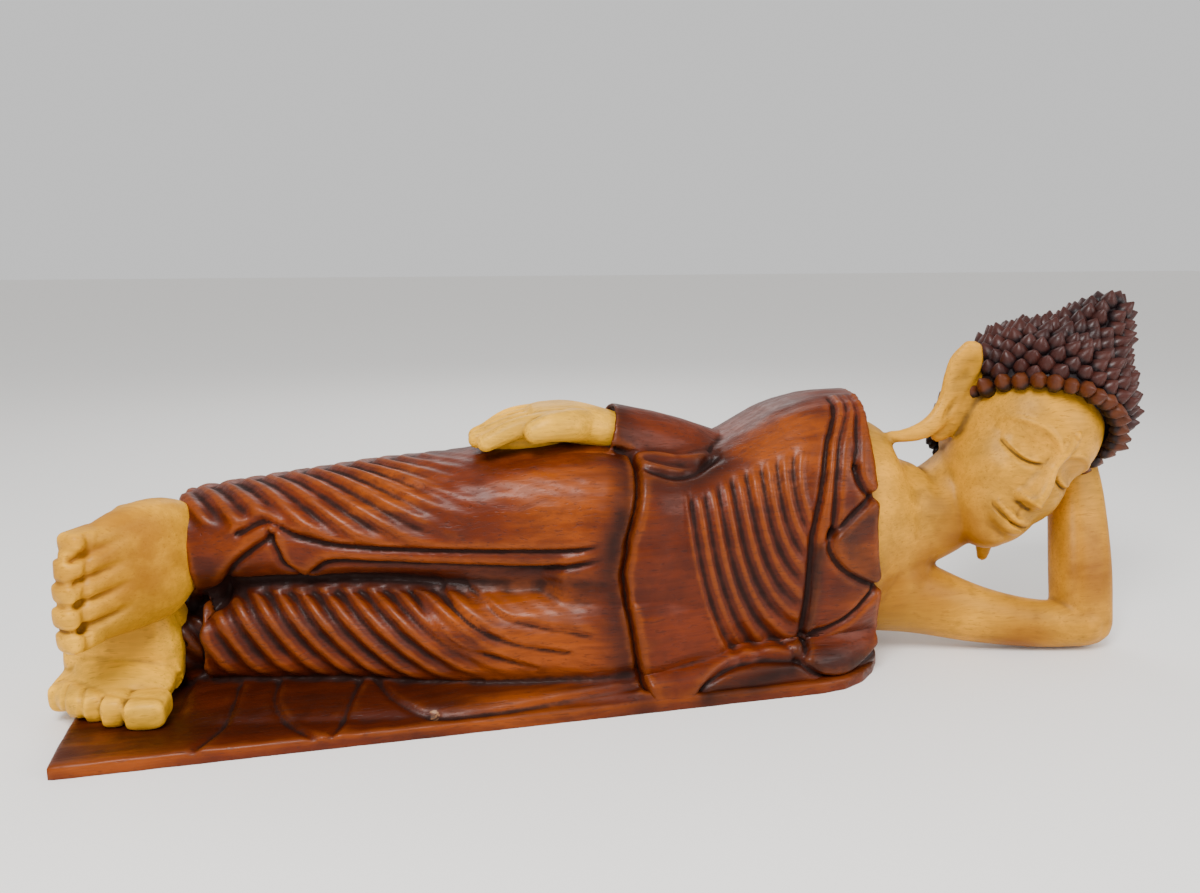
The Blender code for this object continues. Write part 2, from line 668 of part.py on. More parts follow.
def cap_point(reach, height, turn):
    """A point of the hair cap. The knot at the crown stands to the head's left."""
    shift = KNOT_SHIFT * float(smooth_step(45, 75, height))
    return Vector((shift + reach * math.cos(turn), 2 + 1.03 * reach * math.sin(turn), height))


def hairline(y):
    """The height of the hair's lower edge, high over the forehead and low at the nape."""
    return 12 - 0.78 * y


def cap_stop(outline, length, here):
    """The cap's half width and height at a distance along its outline from the crown."""
    return np.interp(here, length, outline[:, 0]), np.interp(here, length, outline[:, 1])


def curl_places(pitch):
    """Where each curl stands on the hair cap and which way it points, in rings from the crown."""
    outline = along_curve(CAP, 120)
    length = np.concatenate([[0], np.cumsum(np.hypot(*np.diff(outline, axis=0).T))])
    rings = int(length[-1] / (0.86 * pitch))
    places = []
    rim_count = round(2 * math.pi * 42 / pitch)
    for k in range(rim_count):
        turn = k * 2 * math.pi / rim_count
        edge = [cap_point(reach, height, turn) for reach, height in outline]
        above = [point for point in edge if point.z > hairline(point.y) - 0.5]
        point = above[-1]
        places.append((point, Vector((math.cos(turn), math.sin(turn), 0.15)).normalized()))
    for ring in range(rings + 1):
        here = ring * length[-1] / rings
        reach, height = cap_stop(outline, length, here)
        before, after = (cap_stop(outline, length, here + step) for step in (-2, 2))
        slope_r, slope_z = after[0] - before[0], after[1] - before[1]
        count = max(1, round(2 * math.pi * reach / pitch))
        for k in range(count):
            turn = (k + 0.5 * (ring % 2)) * 2 * math.pi / count
            point = cap_point(reach, height, turn)
            if point.z < hairline(point.y) + 0.6 * pitch:
                continue
            out = Vector((-slope_z * math.cos(turn), -slope_z * math.sin(turn), slope_r)).normalized()
            if ring == 0:
                out = Vector((0, 0, 1))
            places.append((point, (out + Vector((0, 0, 0.45))).normalized()))
    return places


def add_curl(bm, place, wide, height):
    """A pointed bud of hair that stands on the cap."""
    turns = np.linspace(0, 2 * math.pi, 8, endpoint=False)
    outline = ((0.9, -0.5), (1.1, 0.0), (1.0, 0.3), (0.6, 0.65), (0.1, 1.0))
    rings = [
        [place @ Vector((wide * r * math.cos(a), wide * r * math.sin(a), height * h)) for a in turns]
        for r, h in outline
    ]
    add_rings(bm, rings)


def hair_forms(bm):
    """A cap over the skull that rises to a knot, closely set with pointed curls."""
    cap = bmesh.new()
    outline = along_curve(CAP, 24)
    turns = np.linspace(0, 2 * math.pi, 40, endpoint=False)
    add_rings(cap, [[cap_point(reach, height, turn) for turn in turns] for reach, height in outline])
    everything = [*cap.verts, *cap.edges, *cap.faces]
    edge = Vector((0, 0.78, 1))
    bmesh.ops.bisect_plane(cap, geom=everything, plane_co=(0, 0, 15), plane_no=edge, clear_inner=True)
    bmesh.ops.holes_fill(cap, edges=[e for e in cap.edges if e.is_boundary])
    add_copy(bm, cap, Matrix.Identity(4))
    for point, out in curl_places(CURL_PITCH / UNIT):
        place = frame_matrix(point, out.orthogonal(), out)
        size = 0.45 + 0.55 * float(smooth_step(-15, 18, point.z))
        add_curl(bm, place, (0.3 + 0.2 * size) * CURL_PITCH / UNIT, size * CURL_HEIGHT / UNIT)


def add_copy(bm, other, place):
    """Adds another form to bm, moved by a matrix."""
    other.transform(place)
    bmesh.ops.recalc_face_normals(other, faces=other.faces)
    mesh = bpy.data.meshes.new("copy")
    other.to_mesh(mesh)
    other.free()
    bm.from_mesh(mesh)
    bpy.data.meshes.remove(mesh)


def hair_skin():
    """The hair on the head's place."""
    bm = bmesh.new()
    hair_forms(bm)
    bm.transform(head_matrix())
    bmesh.ops.recalc_face_normals(bm, faces=bm.faces)
    return bm


def drop_crumbs(bm):
    """Keeps the largest piece of bm and removes loose crumbs."""
    pieces = []
    waiting = set(bm.verts)
    while waiting:
        piece = set()
        edge = [waiting.pop()]
        while edge:
            point = edge.pop()
            piece.add(point)
            near = [e.other_vert(point) for e in point.link_edges]
            fresh = [other for other in near if other in waiting]
            waiting.difference_update(fresh)
            edge.extend(fresh)
        pieces.append(piece)
    largest = max(pieces, key=len)
    crumbs = [point for point in bm.verts if point not in largest]
    bmesh.ops.delete(bm, geom=crumbs, context="VERTS")


def whole_block():
    """Everything melted into one block, thinned to flat faces and cut level underneath."""
    bm = hair_skin()
    for skin in (robe_skin(), feet_skin(), hand_skin(), bust_skin()):
        bm.from_mesh(skin)
        bpy.data.meshes.remove(skin)
    block = fused(bm, BLOCK_VOXEL, 1)
    thin = bpy.data.objects.new("block", block)
    bpy.context.scene.collection.objects.link(thin)
    collapse = thin.modifiers.new("thin", "DECIMATE")
    collapse.ratio = BLOCK_FACES / (2 * len(block.polygons))
    graph = bpy.context.evaluated_depsgraph_get()
    faceted = bpy.data.meshes.new_from_object(thin.evaluated_get(graph))
    bpy.data.objects.remove(thin)
    bm = bmesh.new()
    bm.from_mesh(faceted)
    bpy.data.meshes.remove(faceted)
    cut = {"plane_co": (0, 0, 0), "plane_no": (0, 0, 1), "clear_inner": True}
    everything = [*bm.verts, *bm.edges, *bm.faces]
    bmesh.ops.bisect_plane(bm, geom=everything, dist=0.05, **cut)
    bmesh.ops.holes_fill(bm, edges=[e for e in bm.edges if e.is_boundary])
    bmesh.ops.triangulate(bm, faces=bm.faces)
    drop_crumbs(bm)
    bmesh.ops.recalc_face_normals(bm, faces=bm.faces)
    bm.transform(Matrix.Scale(UNIT, 4))
    return bm


def wood():
    """Red-brown stained wood."""
    material = bpy.data.materials.new("wood")
    material.use_nodes = True
    surface = material.node_tree.nodes["Principled BSDF"]
    surface.inputs["Base Color"].default_value = (0.24, 0.075, 0.022, 1)
    surface.inputs["Roughness"].default_value = 0.42
    surface.inputs["Metallic"].default_value = 0.0
    return material


def main():
    for thing in list(bpy.data.objects):
        bpy.data.objects.remove(thing)
    bm = whole_block()
    mesh = bpy.data.meshes.new("reclining_buddha")
    bm.to_mesh(mesh)
    bm.free()
    mesh.materials.append(wood())
    statue = bpy.data.objects.new("reclining_buddha", mesh)
    bpy.context.scene.collection.objects.link(statue)


if __name__ == "__main__":
    main()
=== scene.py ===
"""A reclining Buddha carved in wood: the finished looks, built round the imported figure.

The forms are worked out in millimetres, with X to the crown of the head, the front facing -Y
and Z up from the underside of the board. Each piece is scaled to metres when it is done.
"""

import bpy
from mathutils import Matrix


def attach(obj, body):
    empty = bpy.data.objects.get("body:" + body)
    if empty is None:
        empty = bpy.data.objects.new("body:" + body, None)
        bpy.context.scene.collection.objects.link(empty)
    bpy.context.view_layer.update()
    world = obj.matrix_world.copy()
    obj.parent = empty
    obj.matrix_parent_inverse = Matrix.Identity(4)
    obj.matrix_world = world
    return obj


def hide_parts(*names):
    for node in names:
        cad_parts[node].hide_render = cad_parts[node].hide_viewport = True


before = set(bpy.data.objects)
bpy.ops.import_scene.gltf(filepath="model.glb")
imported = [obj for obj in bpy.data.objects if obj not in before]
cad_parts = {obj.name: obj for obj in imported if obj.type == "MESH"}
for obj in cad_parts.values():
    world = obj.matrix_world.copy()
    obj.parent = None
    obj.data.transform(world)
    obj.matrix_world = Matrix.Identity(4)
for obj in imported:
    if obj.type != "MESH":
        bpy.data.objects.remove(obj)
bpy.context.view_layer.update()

import math

import bmesh
import bpy
import numpy as np
from bpy.props import FloatProperty, FloatVectorProperty, PointerProperty
from mathutils import Matrix, Vector

bl_info = {
    "name": "Reclining Buddha",
    "version": (1, 0, 0),
    "blender": (4, 5, 0),
    "location": "3D View > Sidebar > Figure",
    "description": "Carves and finishes a reclining Buddha in wood",
    "category": "Add Mesh",
}

NODE = "reclining_buddha"
BODY = "root"

# One millimetre in metres
MM = 0.001

# How finely each piece is carved
CLOTH_VOXEL = 1.25
TUNIC_VOXEL = 1.08
BUST_VOXEL = 1.25
FOOT_VOXEL = 0.8
HAND_VOXEL = 0.6

# How far the forms run below the level underside
UNDERCUT = 4

BOARD_THICKNESS = 6

# The camera's place, and its tilt down and turn to the right in degrees
CAMERA_PLACE = (-131.92, -476.42, 215)
CAMERA_ANGLES = (11.563, 13.4)

# The camera's focal length and the width of its sensor
CAMERA_LENS = (30, 36)

# The soft lights: name, place, what they face, width and share of the main light's power
LIGHTS = [
    ("key", (-350, -650, 900), (0, 0, 60), 420, 1),
    ("fill", (700, -600, 420), (60, 0, 60), 500, 0.25),
    ("rim", (100, 800, 700), (0, 0, 60), 500, 0.15),
]
SKY_STRENGTH = 0.8

# The cloth forms. Each row is x, y, z, half depth and half height
UPPER_LEG = [
    (-240, 24, 71, 25, 23),
    (-213, 20, 72.5, 27, 25),
    (-185, 17, 77, 29, 24.5),
    (-140, 10, 81, 33, 27),
    (-95, 4, 84, 38, 30),
    (-50, -1, 86, 43, 34),
    (-10, -4, 83, 47, 36),
    (20, -2, 78, 46, 36),
]
LOWER_LEG = [
    (-240, 24, 31, 26, 22),
    (-209, 20, 31, 28, 23),
    (-185, 17, 31, 30, 24),
    (-140, 9, 31, 33, 25),
    (-95, -1, 31, 39, 26),
    (-50, -7, 31, 43, 28),
    (-10, -10, 32, 46, 30),
    (20, -7, 36, 46, 34),
]
BETWEEN_LEGS = [
    (-206, 20, 55, 18, 16),
    (-140, 10, 56, 24, 16),
    (-60, -2, 58, 33, 16),
    (0, -4, 60, 38, 20),
]
TORSO = [
    (-24, -4, 62, 46, 50),
    (10, -4, 60, 49, 56),
    (42, -3, 60, 49, 57),
    (75, -3, 65, 50, 65),
    (98, -3, 70, 49, 69),
    (120, -2, 70, 46, 68),
    (150, -2, 70, 42, 62),
]
UPPER_ARM = [(132, 4, 112, 22, 24), (110, 5, 113, 23, 26), (76, 8, 109, 21, 22), (46, 7, 99, 19, 18)]
SLEEVE = [(46, 5, 100, 19, 18), (14, -3, 112, 18, 18), (-20, -9, 122, 16, 17), (-40, -10, 126, 15, 15)]
SKIRT = [
    (-212, 4, 3, 44, 7),
    (-120, -6, 4, 48, 9),
    (-40, -10, 5, 49, 12),
    (20, -7, 8, 53, 16),
    (75, -7, 9, 52, 18),
    (100, -6, 12, 46, 18),
    (118, -5, 14, 37, 17),
    (134, -3, 15, 24, 15),
]

# The rows at which the leg tubes end in hollow cuffs
LEG_CUFFS = (UPPER_LEG[1], LOWER_LEG[1])

# Where the pieces start or end along X, each a little way under the one that covers it
LEGS_END = 14
TUNIC_START = -36
BUST_START = 92

# Level cuts that end the cloth: a point on each and the way its waste side faces
UPPER_CUFF = ((-215, 0, 75), (-1, 0, -0.11))
LOWER_CUFF = ((-210, 0, 31), (-1, 0, 0))
SHOULDER_EDGE = ((121, 0, 80), (1, -0.27, 0.09))
SLEEVE_END = ((-19, 0, 120), (-1, 0, 0.25))

# The cloth deep in the gap behind the lower ankle, as its middle and half sizes
UNDER_CUFF = ((-217, 18, 24), (13, 16, 24))

# The bare chest and neck and the arm that props the head
NECK = [
    (92, -1, 66, 48, 62),
    (120, -2, 68, 42, 57),
    (138, -4, 68, 34, 45),
    (152, -6, 70, 27, 31),
    (168, -8, 74, 23.5, 24),
    (194, -10, 92, 22, 25),
]
LOWER_ARM = [
    (126, -10, 36, 27, 27),
    (152, -18, 28, 20, 20),
    (182, -27, 19, 14.5, 15.5),
    (212, -35, 14, 12.5, 13),
    (238, -40, 13.5, 13, 12.5),
]
FOREARM = [
    (240, -39, 13, 16, 12.5),
    (243, -30, 44, 16, 13),
    (248, -16, 76, 14.5, 12),
    (250, -6, 96, 13, 11),
]
PALM = [(250, -4, 92, 14, 10), (249, 6, 108, 17, 9), (242, 18, 126, 16, 7)]

# Where the head sits and how it leans
HEAD_CENTRE = (204, -14, 105)
HEAD_SCALE = 0.95
KNOT_SHIFT = 3
HEAD_UP = (0.55, -0.06, 0.83)
HEAD_FRONT = (0.0, -1.0, -0.03)

# The ears in the head's frame, from the top down. Each row is x, y, z, half width and half depth
RIGHT_EAR = [
    (-60, -4, 33, 6.5, 3.4),
    (-57, -3, 25, 10.5, 4),
    (-54.5, -3, 14, 9.5, 4),
    (-52, -3, 3, 7, 4),
    (-52, -4, -8, 6, 4),
    (-55, -4, -18, 5.5, 3.8),
    (-63, -4, -27, 4, 3.4),
    (-70, -4, -31.5, 3.2, 3.2),
]
LEFT_EAR = [(45, -2, 32, 5, 3.4), (48, 0, 20, 8, 4), (47, 2, 6, 8, 4), (42, 6, -6, 6, 4.4)]
LEFT_LOBE = [
    (42, 6, -6, 6, 4.4),
    (33, 14, -20, 5, 4),
    (29, 16, -35, 5, 4),
    (36, 17, -47, 6.2, 4),
    (42, 17, -57, 3.6, 3),
]

# The feet, each in its own frame with X to the toes and Z up from the sole. The edges are those of
# the toes across the foot, from the big one's outer side to the little one's
UPPER_FOOT = {
    "heel": (-220, 26, 77),
    "ahead": (-0.58, -0.80, -0.05),
    "instep": (0.80, -0.58, 0.0),
    "edges": (28, 18, 7, -3, -13, -22),
    "tips": (79, 79, 77.5, 75, 71.5),
    "sole": [(6, 6, 9, 17, 9), (24, 2, 12, 27, 12), (46, 2.5, 10, 28, 10), (68, 6, 8, 23, 8)],
    "arch": [(12, 4, 10, 17, 10), (28, 1, 13, 22, 11), (44, 3, 10, 22, 9.5), (58, 3, 7, 22, 7)],
    "creases": (74, 51, -2.5, 2.6),
    "root_depth": 1.1,
}
LOWER_FOOT = {
    "heel": (-243, 44, 5),
    "ahead": (-0.10, -0.995, 0.0),
    "instep": (0.0, 0.0, 1.0),
    "edges": (27.5, 10.5, -0.5, -9.5, -18.5, -28),
    "tips": (83, 78.5, 72.5, 67, 60),
    "sole": [
        (6, 0, 13, 16, 13),
        (24, 3, 14, 22, 14),
        (40, 0, 11, 27, 11),
        (50, 0, 9, 27, 9),
        (60, 6, 8, 21.5, 8),
    ],
    "arch": [(10, -2, 24, 18, 21), (28, 0, 24, 21, 18), (44, 2, 16, 23, 12), (60, 6, 10, 20, 8)],
    "root_depth": 0.7,
}

# The ankles: the upper one, the lower one and the broad side of the lower foot. Each starts with how
# square its section is
ANKLES = [
    (
        2.0,
        *((-240, 14, 77.5, 17, 18.5), (-228, 16, 76, 16, 17)),
        *((-212, 18, 74, 15, 13.5), (-180, 18, 73, 14, 12)),
    ),
    (2.0, (-232, 12, 33, 14, 17), (-214, 21, 31, 11, 12), (-180, 21, 31, 11, 12)),
    (2.6, (-260, 8, 20, 13, 18), (-246, 5, 27, 15, 24), (-233, 3, 29, 13, 25)),
]

# The right hand: the back with the wrist, the thumb, and each finger's place across and its reach
HAND_BACK = [(-2, -8, 119, 10, 10), (-24, -9, 127, 13, 10), (-38, -8, 130, 18, 10), (-50, -7, 130.5, 19, 9)]
THUMB = [
    *((-30, -17, 129, 6, 8), (-38, -23, 130.5, 6.6, 8)),
    *((-48, -26.5, 130.5, 6, 7), (-56, -27, 128.5, 5, 5.6)),
]
FINGERS = ((-21, -78), (-11.5, -81), (-2, -80), (7, -75))

# Lines cut in the cloth, seen from the front, as x and z
TUNIC_EDGE = [
    *((-8, 150), (-8, 113), (-11, 99), (-16, 81), (-19, 65)),
    *((-16, 44), (-12, 18), (-7, 4), (-4, -5)),
]
PLEATS = [
    [(98, 142), (96, 134), (86, 119), (80, 97), (75, 76), (74, 50), (73, 23)],
    [(104, 142), (102, 134), (92, 120), (87, 100), (85, 80)],
    [(109, 142), (107, 134), (102, 124), (98, 108)],
]

# Folds of the shawl and the sleeve. The cloth on the left of each line lies over the other side
SHAWL_FOLDS = [
    [(98, 108), (99, 102), (103, 97), (108, 94)],
    [(108, 95), (97, 87), (88, 80), (84, 77)],
    [(84, 78), (83, 71), (88, 63), (97, 56), (111, 49)],
    [(112, 49), (104, 40), (96, 32), (86, 27), (75, 25)],
    [(12, 3), (19, 11), (31, 17), (49, 19), (68, 18), (73, 23)],
    [(68, 17), (80, 8), (96, 6), (118, 16)],
]
SLEEVE_FOLDS = [
    [(-15, 119), (-3, 115), (12, 112), (24, 112), (34, 114)],
    [(-10, 115), (-3, 111), (8, 108), (20, 109), (31, 114)],
]
LEG_FOLDS = [
    [(-201, 55), (-196, 68), (-187, 77), (-177, 84)],
    [(-190, 86), (-178, 91), (-163, 84), (-143, 80), (-112, 78), (-79, 77), (-44, 77), (-24, 80)],
    [(-176, 84), (-173, 77), (-170, 70), (-162, 64)],
    [(-159, 67), (-150, 72), (-128, 71), (-88, 69), (-54, 68), (-30, 72)],
]
SOFT_FOLDS = [
    [(-99, 56), (-95, 49), (-85, 41), (-67, 34), (-47, 30)],
    [(-86, 56), (-81, 52), (-73, 46), (-57, 42), (-36, 38)],
    [(-112, 52), (-106, 45), (-93, 33), (-77, 28), (-62, 23)],
]
SEAM = [
    *((-214, 45), (-205, 50), (-196, 56), (-182, 59), (-156, 60)),
    *((-128, 60), (-102, 59), (-61, 59), (-17, 60)),
]

# How the ridges on the legs lean, bend and spread as they run down
RIDGE_SWEEP = (0.38, 0.007, 0.00013)

# Where the wood is worn to a warmer tone, as x, y, z and reach
WORN_SPOTS = [
    (-45, -38, 100, 34),
    (-125, -25, 106, 22),
    (62, -44, 122, 30),
    (-70, -50, 30, 40),
    (100, -46, 62, 22),
    (-200, -30, 84, 18),
    (-240, -50, 6, 26),
]

# Where shade is painted on the skin: under the chin, round the armpit, under the arm, on the forearm and on
# the upper foot's instep, as x, y, z and reach
SHADED_SKIN_SPOTS = [
    (-240, -16, 80, 40),
    (241, -50, 48, 30),
    (170, -30, 66, 20),
    (150, -30, 44, 22),
    (200, -44, 4, 22),
    (128, -44, 40, 20),
]

# A chip in the board's hem, as x, y, z and reach
CHIP = (-108, -54, 6, 2.8)

# Lines along which shade is painted dark, in the grooves and gaps where shadow falls, seen from the front as
# x and z, each with its reach
SHADE_LINES = [
    ([(x - 6, z) for x, z in TUNIC_EDGE], 7),
    ([(-214, 54), (-196, 58)], 13),
    ([(-196, 58), (-150, 60), (-60, 59), (-24, 58)], 6),
    ([(-8, 108), (8, 105), (20, 106), (34, 112)], 7),
    ([(76, 70), (73, 23), (62, 12)], 5),
    ([(20, 5), (60, 12), (84, 14), (112, 8)], 8),
    ([(104, 84), (92, 78), (98, 66), (108, 56)], 9),
]

# Hems cut in the top of the board, as x and y
BOARD_LINES = [
    [(-194, -12), (-195, -28), (-198, -44), (-208, -64)],
    [(-176, -12), (-177, -30), (-171, -46), (-157, -64)],
    [(-138, -20), (-143, -38), (-147, -52), (-152, -64)],
    [(-131, -24), (-124, -42), (-110, -54), (-90, -57), (-50, -56), (-15, -56)],
]

# How steeply the hair's lower edge falls from the forehead to the nape
HAIR_SLOPE = 0.78

# The hair cap from crown to nape, as half width and height in the head's frame
CAP = [
    (2, 101),
    (8, 96),
    (13, 87),
    (18, 77),
    (25, 68),
    (34, 60),
    (40, 50),
    (43, 35),
    (43, 18),
    (41, 2),
    (38, -14),
    (30, -25),
]


def smooth_step(low, high, value):
    """0 at low, 1 at high and a smooth rise between them."""
    share = np.clip((value - low) / (high - low), 0, 1)
    return share * share * (3 - 2 * share)


def bell(value, reach, power=2):
    """1 where a value is 0, falling smoothly to nothing as the value grows past a reach."""
    return np.exp(-((value / reach) ** power))


def along_curve(rows, count):
    """Rows read along a smooth curve that passes through all of them."""
    rows = np.array(rows, float)
    last = len(rows) - 1
    where = np.linspace(0, last, count)
    index = np.minimum(where.astype(int), last - 1)
    t = (where - index)[:, None]
    padded = np.vstack([2 * rows[0] - rows[1], rows, 2 * rows[-1] - rows[-2]])
    before, start, end, after = (padded[index + k] for k in range(4))
    bend = 2 * before - 5 * start + 4 * end - after
    twist = 3 * start - before - 3 * end + after
    return 0.5 * (2 * start + (end - before) * t + bend * t**2 + twist * t**3)


def unit_rows(rows):
    """Each row as a direction of length one."""
    return rows / np.linalg.norm(rows, axis=-1, keepdims=True)


def add_rings(bm, rings):
    """A closed skin over rings of points, with a flat face at each end."""
    loops = [[bm.verts.new(point) for point in ring] for ring in rings]
    for near, far in zip(loops, loops[1:]):
        for k in range(len(near)):
            m = (k + 1) % len(near)
            bm.faces.new((near[k], near[m], far[m], far[k]))
    bm.faces.new(reversed(loops[0]))
    bm.faces.new(loops[-1])


def add_tube(bm, rows, sides=28, squareness=2.0, upright=(0, 0, 1), blunt=1.0):
    """A limb: round-ended, along rows of x, y, z, half width and half height."""
    path = along_curve(rows, 4 * len(rows))
    centres, halves = path[:, :3], path[:, 3:]
    ahead = unit_rows(np.gradient(centres, axis=0))
    side = unit_rows(np.cross(upright, ahead))
    up = np.cross(ahead, side)
    turns = np.arange(sides) * 2 * math.pi / sides
    across = np.sign(np.cos(turns)) * np.abs(np.cos(turns)) ** (2 / squareness)
    upward = np.sign(np.sin(turns)) * np.abs(np.sin(turns)) ** (2 / squareness)
    stops = [(0, -a) for a in (80, 55, 28)] + [(k, 0) for k in range(len(path))]
    stops += [(len(path) - 1, a) for a in (28, 55, 80)]
    rings = []
    for k, angle in stops:
        wide, high = halves[k] * math.cos(math.radians(angle))
        centre = centres[k] + ahead[k] * blunt * halves[k].min() * math.sin(math.radians(angle))
        rings.append(centre + wide * across[:, None] * side[k] + high * upward[:, None] * up[k])
    add_rings(bm, rings)


def cut_away(bm, point, normal, inner=False):
    """Cuts a form along a plane, takes off the outer or the inner side and closes the cut."""
    plane = {"plane_co": point, "plane_no": normal, "clear_inner": inner, "clear_outer": not inner}
    bmesh.ops.bisect_plane(bm, geom=[*bm.verts, *bm.edges, *bm.faces], **plane)
    bmesh.ops.holes_fill(bm, edges=[edge for edge in bm.edges if edge.is_boundary])


def add_cut_tube(bm, rows, cut, sides=28, squareness=2.0):
    """A limb that ends level at a cut."""
    limb = bmesh.new()
    add_tube(limb, rows, sides, squareness)
    cut_away(limb, *cut)
    add_copy(bm, limb)


def add_ball(bm, centre, halves):
    """An egg-shaped mass with the given half sizes."""
    place = Matrix.Translation(centre)
    swell = place @ Matrix.Diagonal((*halves, 1))
    bmesh.ops.create_icosphere(bm, subdivisions=4, radius=1, matrix=swell)


def add_copy(bm, other, place=Matrix.Identity(4)):
    """Adds another form to bm, moved by a matrix."""
    other.transform(place)
    bmesh.ops.recalc_face_normals(other, faces=other.faces)
    mesh = bpy.data.meshes.new("copy")
    other.to_mesh(mesh)
    other.free()
    bm.from_mesh(mesh)
    bpy.data.meshes.remove(mesh)


def frame_matrix(origin, x_axis, z_axis):
    """The matrix that carries a form's own X, Y and Z to its place in the figure."""
    x_axis = Vector(x_axis).normalized()
    y_axis = Vector(z_axis).cross(x_axis).normalized()
    z_axis = x_axis.cross(y_axis)
    turn = Matrix((x_axis, y_axis, z_axis)).transposed().to_4x4()
    return Matrix.Translation(origin) @ turn


def head_matrix():
    """From the head's own frame, with X to its left and Z to its crown, to the figure's."""
    up = Vector(HEAD_UP).normalized()
    left = up.cross(Vector(HEAD_FRONT)).normalized()
    return frame_matrix(HEAD_CENTRE, left, up) @ Matrix.Scale(HEAD_SCALE, 4)


def points_of(mesh):
    """A mesh's points and the directions that they face."""
    points = np.zeros(len(mesh.vertices) * 3, np.float32)
    faces = np.zeros(len(mesh.vertices) * 3, np.float32)
    mesh.vertices.foreach_get("co", points)
    mesh.vertex_normals.foreach_get("vector", faces)
    return points.reshape(-1, 3).astype(float), faces.reshape(-1, 3).astype(float)


def set_points(mesh, points):
    """Moves a mesh's points."""
    mesh.vertices.foreach_set("co", points.astype(np.float32).ravel())
    mesh.update()


def line_distance(points, stops):
    """How far each 2-D point lies from the line through the stops, plain and signed, plus to its left."""
    away = np.full(len(points), 1e9)
    signed = np.full(len(points), 1e9)
    for start, end in zip(np.array(stops[:-1], float), np.array(stops[1:], float)):
        step = end - start
        offset = points - start
        share = np.clip(offset @ step / (step @ step), 0, 1)
        gap = np.linalg.norm(offset - share[:, None] * step, axis=1)
        nearer = gap < away
        left = np.sign(step[0] * offset[:, 1] - step[1] * offset[:, 0])
        away[nearer] = gap[nearer]
        signed[nearer] = (gap * left)[nearer]
    return away, signed


def limb_angle(points, rows):
    """The angle round a limb, 0 in front and positive upwards, and the limb's mean half width."""
    rows = np.array(rows, float)
    middle_y, middle_z, deep, high = (np.interp(points[:, 0], rows[:, 0], rows[:, k]) for k in (1, 2, 3, 4))
    angle = np.arctan2(points[:, 2] - middle_z, middle_y - points[:, 1])
    return angle, (deep + high) / 2


def fan_of_ridges(x, depth, pitch):
    """Ridges that start along the top of a limb, run down it and sweep round towards the hip."""
    lean, near, grow = RIDGE_SWEEP
    start = (x - lean * depth - near * depth**2 - grow * 200 * depth**2) / (1 + grow * depth**2)
    return 0.5 + 0.5 * np.cos(2 * math.pi * start / pitch)


def side_at(stops, z):
    """Where a line that runs downwards stands along X at each height."""
    x, height = np.array(stops, float)[::-1].T
    return np.interp(z, height, x)


def carve(points, lines, wide):
    """Sharp-bottomed grooves along lines on 2-D points, 1 in the middle of each."""
    cut = np.zeros(len(points))
    for stops in lines:
        cut = np.maximum(cut, bell(line_distance(points, stops)[0], wide))
    return cut


def folds(points, lines, groove, lift, reach):
    """Overlapping folds: the cloth left of each line is raised beside it and the other side is cut."""
    relief = np.zeros(len(points))
    for stops in lines:
        away, side = line_distance(points, along_curve(stops, 5 * len(stops)))
        relief += lift * bell(away, reach) * smooth_step(-1.3, 1.1, side)
        relief -= groove * bell(side + 1.2, 1.7) * smooth_step(9, 3, away)
    return relief


def board_outline():
    """The board seen from above: a straight front edge, a square foot end and a round head end."""
    head = [(78 + 50 * math.sin(a), -6 - 56 * math.cos(a)) for a in np.linspace(0, math.pi, 13)]
    foot = [(-240, 50), (-256, 42), (-264, 26), (-266, -10), (-266, -40), (-265, -63)]
    return head + foot


def add_board(bm, outline, thickness):
    """A flat board with the given outline. It starts below the level where the block is cut."""
    low = [bm.verts.new((x, y, -UNDERCUT)) for x, y in outline]
    bm.faces.new(reversed(low))
    face = bm.faces.new([bm.verts.new((x, y, thickness)) for x, y in outline])
    high = list(face.verts)
    for k in range(len(low)):
        m = (k + 1) % len(low)
        bm.faces.new((low[k], low[m], high[m], high[k]))


def foot_matrix(foot):
    """From a foot's own frame, with X to its toes and Z up from its sole, to the figure's."""
    return frame_matrix(foot["heel"], foot["ahead"], foot["instep"])


def add_foot(bm, foot):
    """A bare foot with blunt toes side by side, the big toe on the foot's own left."""
    form = bmesh.new()
    add_tube(form, foot["sole"], squareness=2.8)
    add_tube(form, foot["arch"])
    for inner, outer, tip in zip(foot["edges"], foot["edges"][1:], foot["tips"]):
        middle, half = (inner + outer) / 2, (inner - outer) / 2 + 0.8
        rows = [(tip - back, middle, up, half, 6.8) for back, up in ((15, 8), (8, 8), (2.5, 7.6))]
        add_tube(form, rows, sides=20, squareness=3.2, blunt=0.55)
    add_copy(bm, form, foot_matrix(foot))


def foot_relief(points, facing, foot):
    """The notches between a foot's toes and the soft creases that slant back from them."""
    back = np.array(foot_matrix(foot).inverted())
    own = points @ back[:3, :3].T + back[:3, 3]
    edges, tips = foot["edges"], foot["tips"]
    upward = smooth_step(0.1, 0.5, facing @ np.array(foot["instep"]))
    inside = (own[:, 1] < edges[0]) & (own[:, 1] > edges[-1]) & (own[:, 2] > -3) & (own[:, 2] < 27)
    notches = [[(max(pair) - 7, edge), (90, edge)] for edge, *pair in zip(edges[1:-1], tips, tips[1:])]
    relief = -1.0 * carve(own[:, :2], notches, 1.2)
    roots = [(tip - 6.5, (inner + outer) / 2) for inner, outer, tip in zip(edges, edges[1:], tips)]
    roots = [(roots[0][0], edges[0]), *roots, (roots[-1][0], edges[-1])]
    relief -= foot["root_depth"] * upward * carve(own[:, :2], [roots], 1.5)
    if "creases" in foot:
        root, far, lean, depth = foot["creases"]
        creases = [[(root, edge), (far, edge + lean)] for edge in edges[1:-1]]
        fade = smooth_step(far - 4, root - 6, own[:, 0]) * smooth_step(root + 3, root - 1, own[:, 0])
        relief -= depth * upward * fade * carve(own[:, :2], creases, 2.0)
    return relief * inside


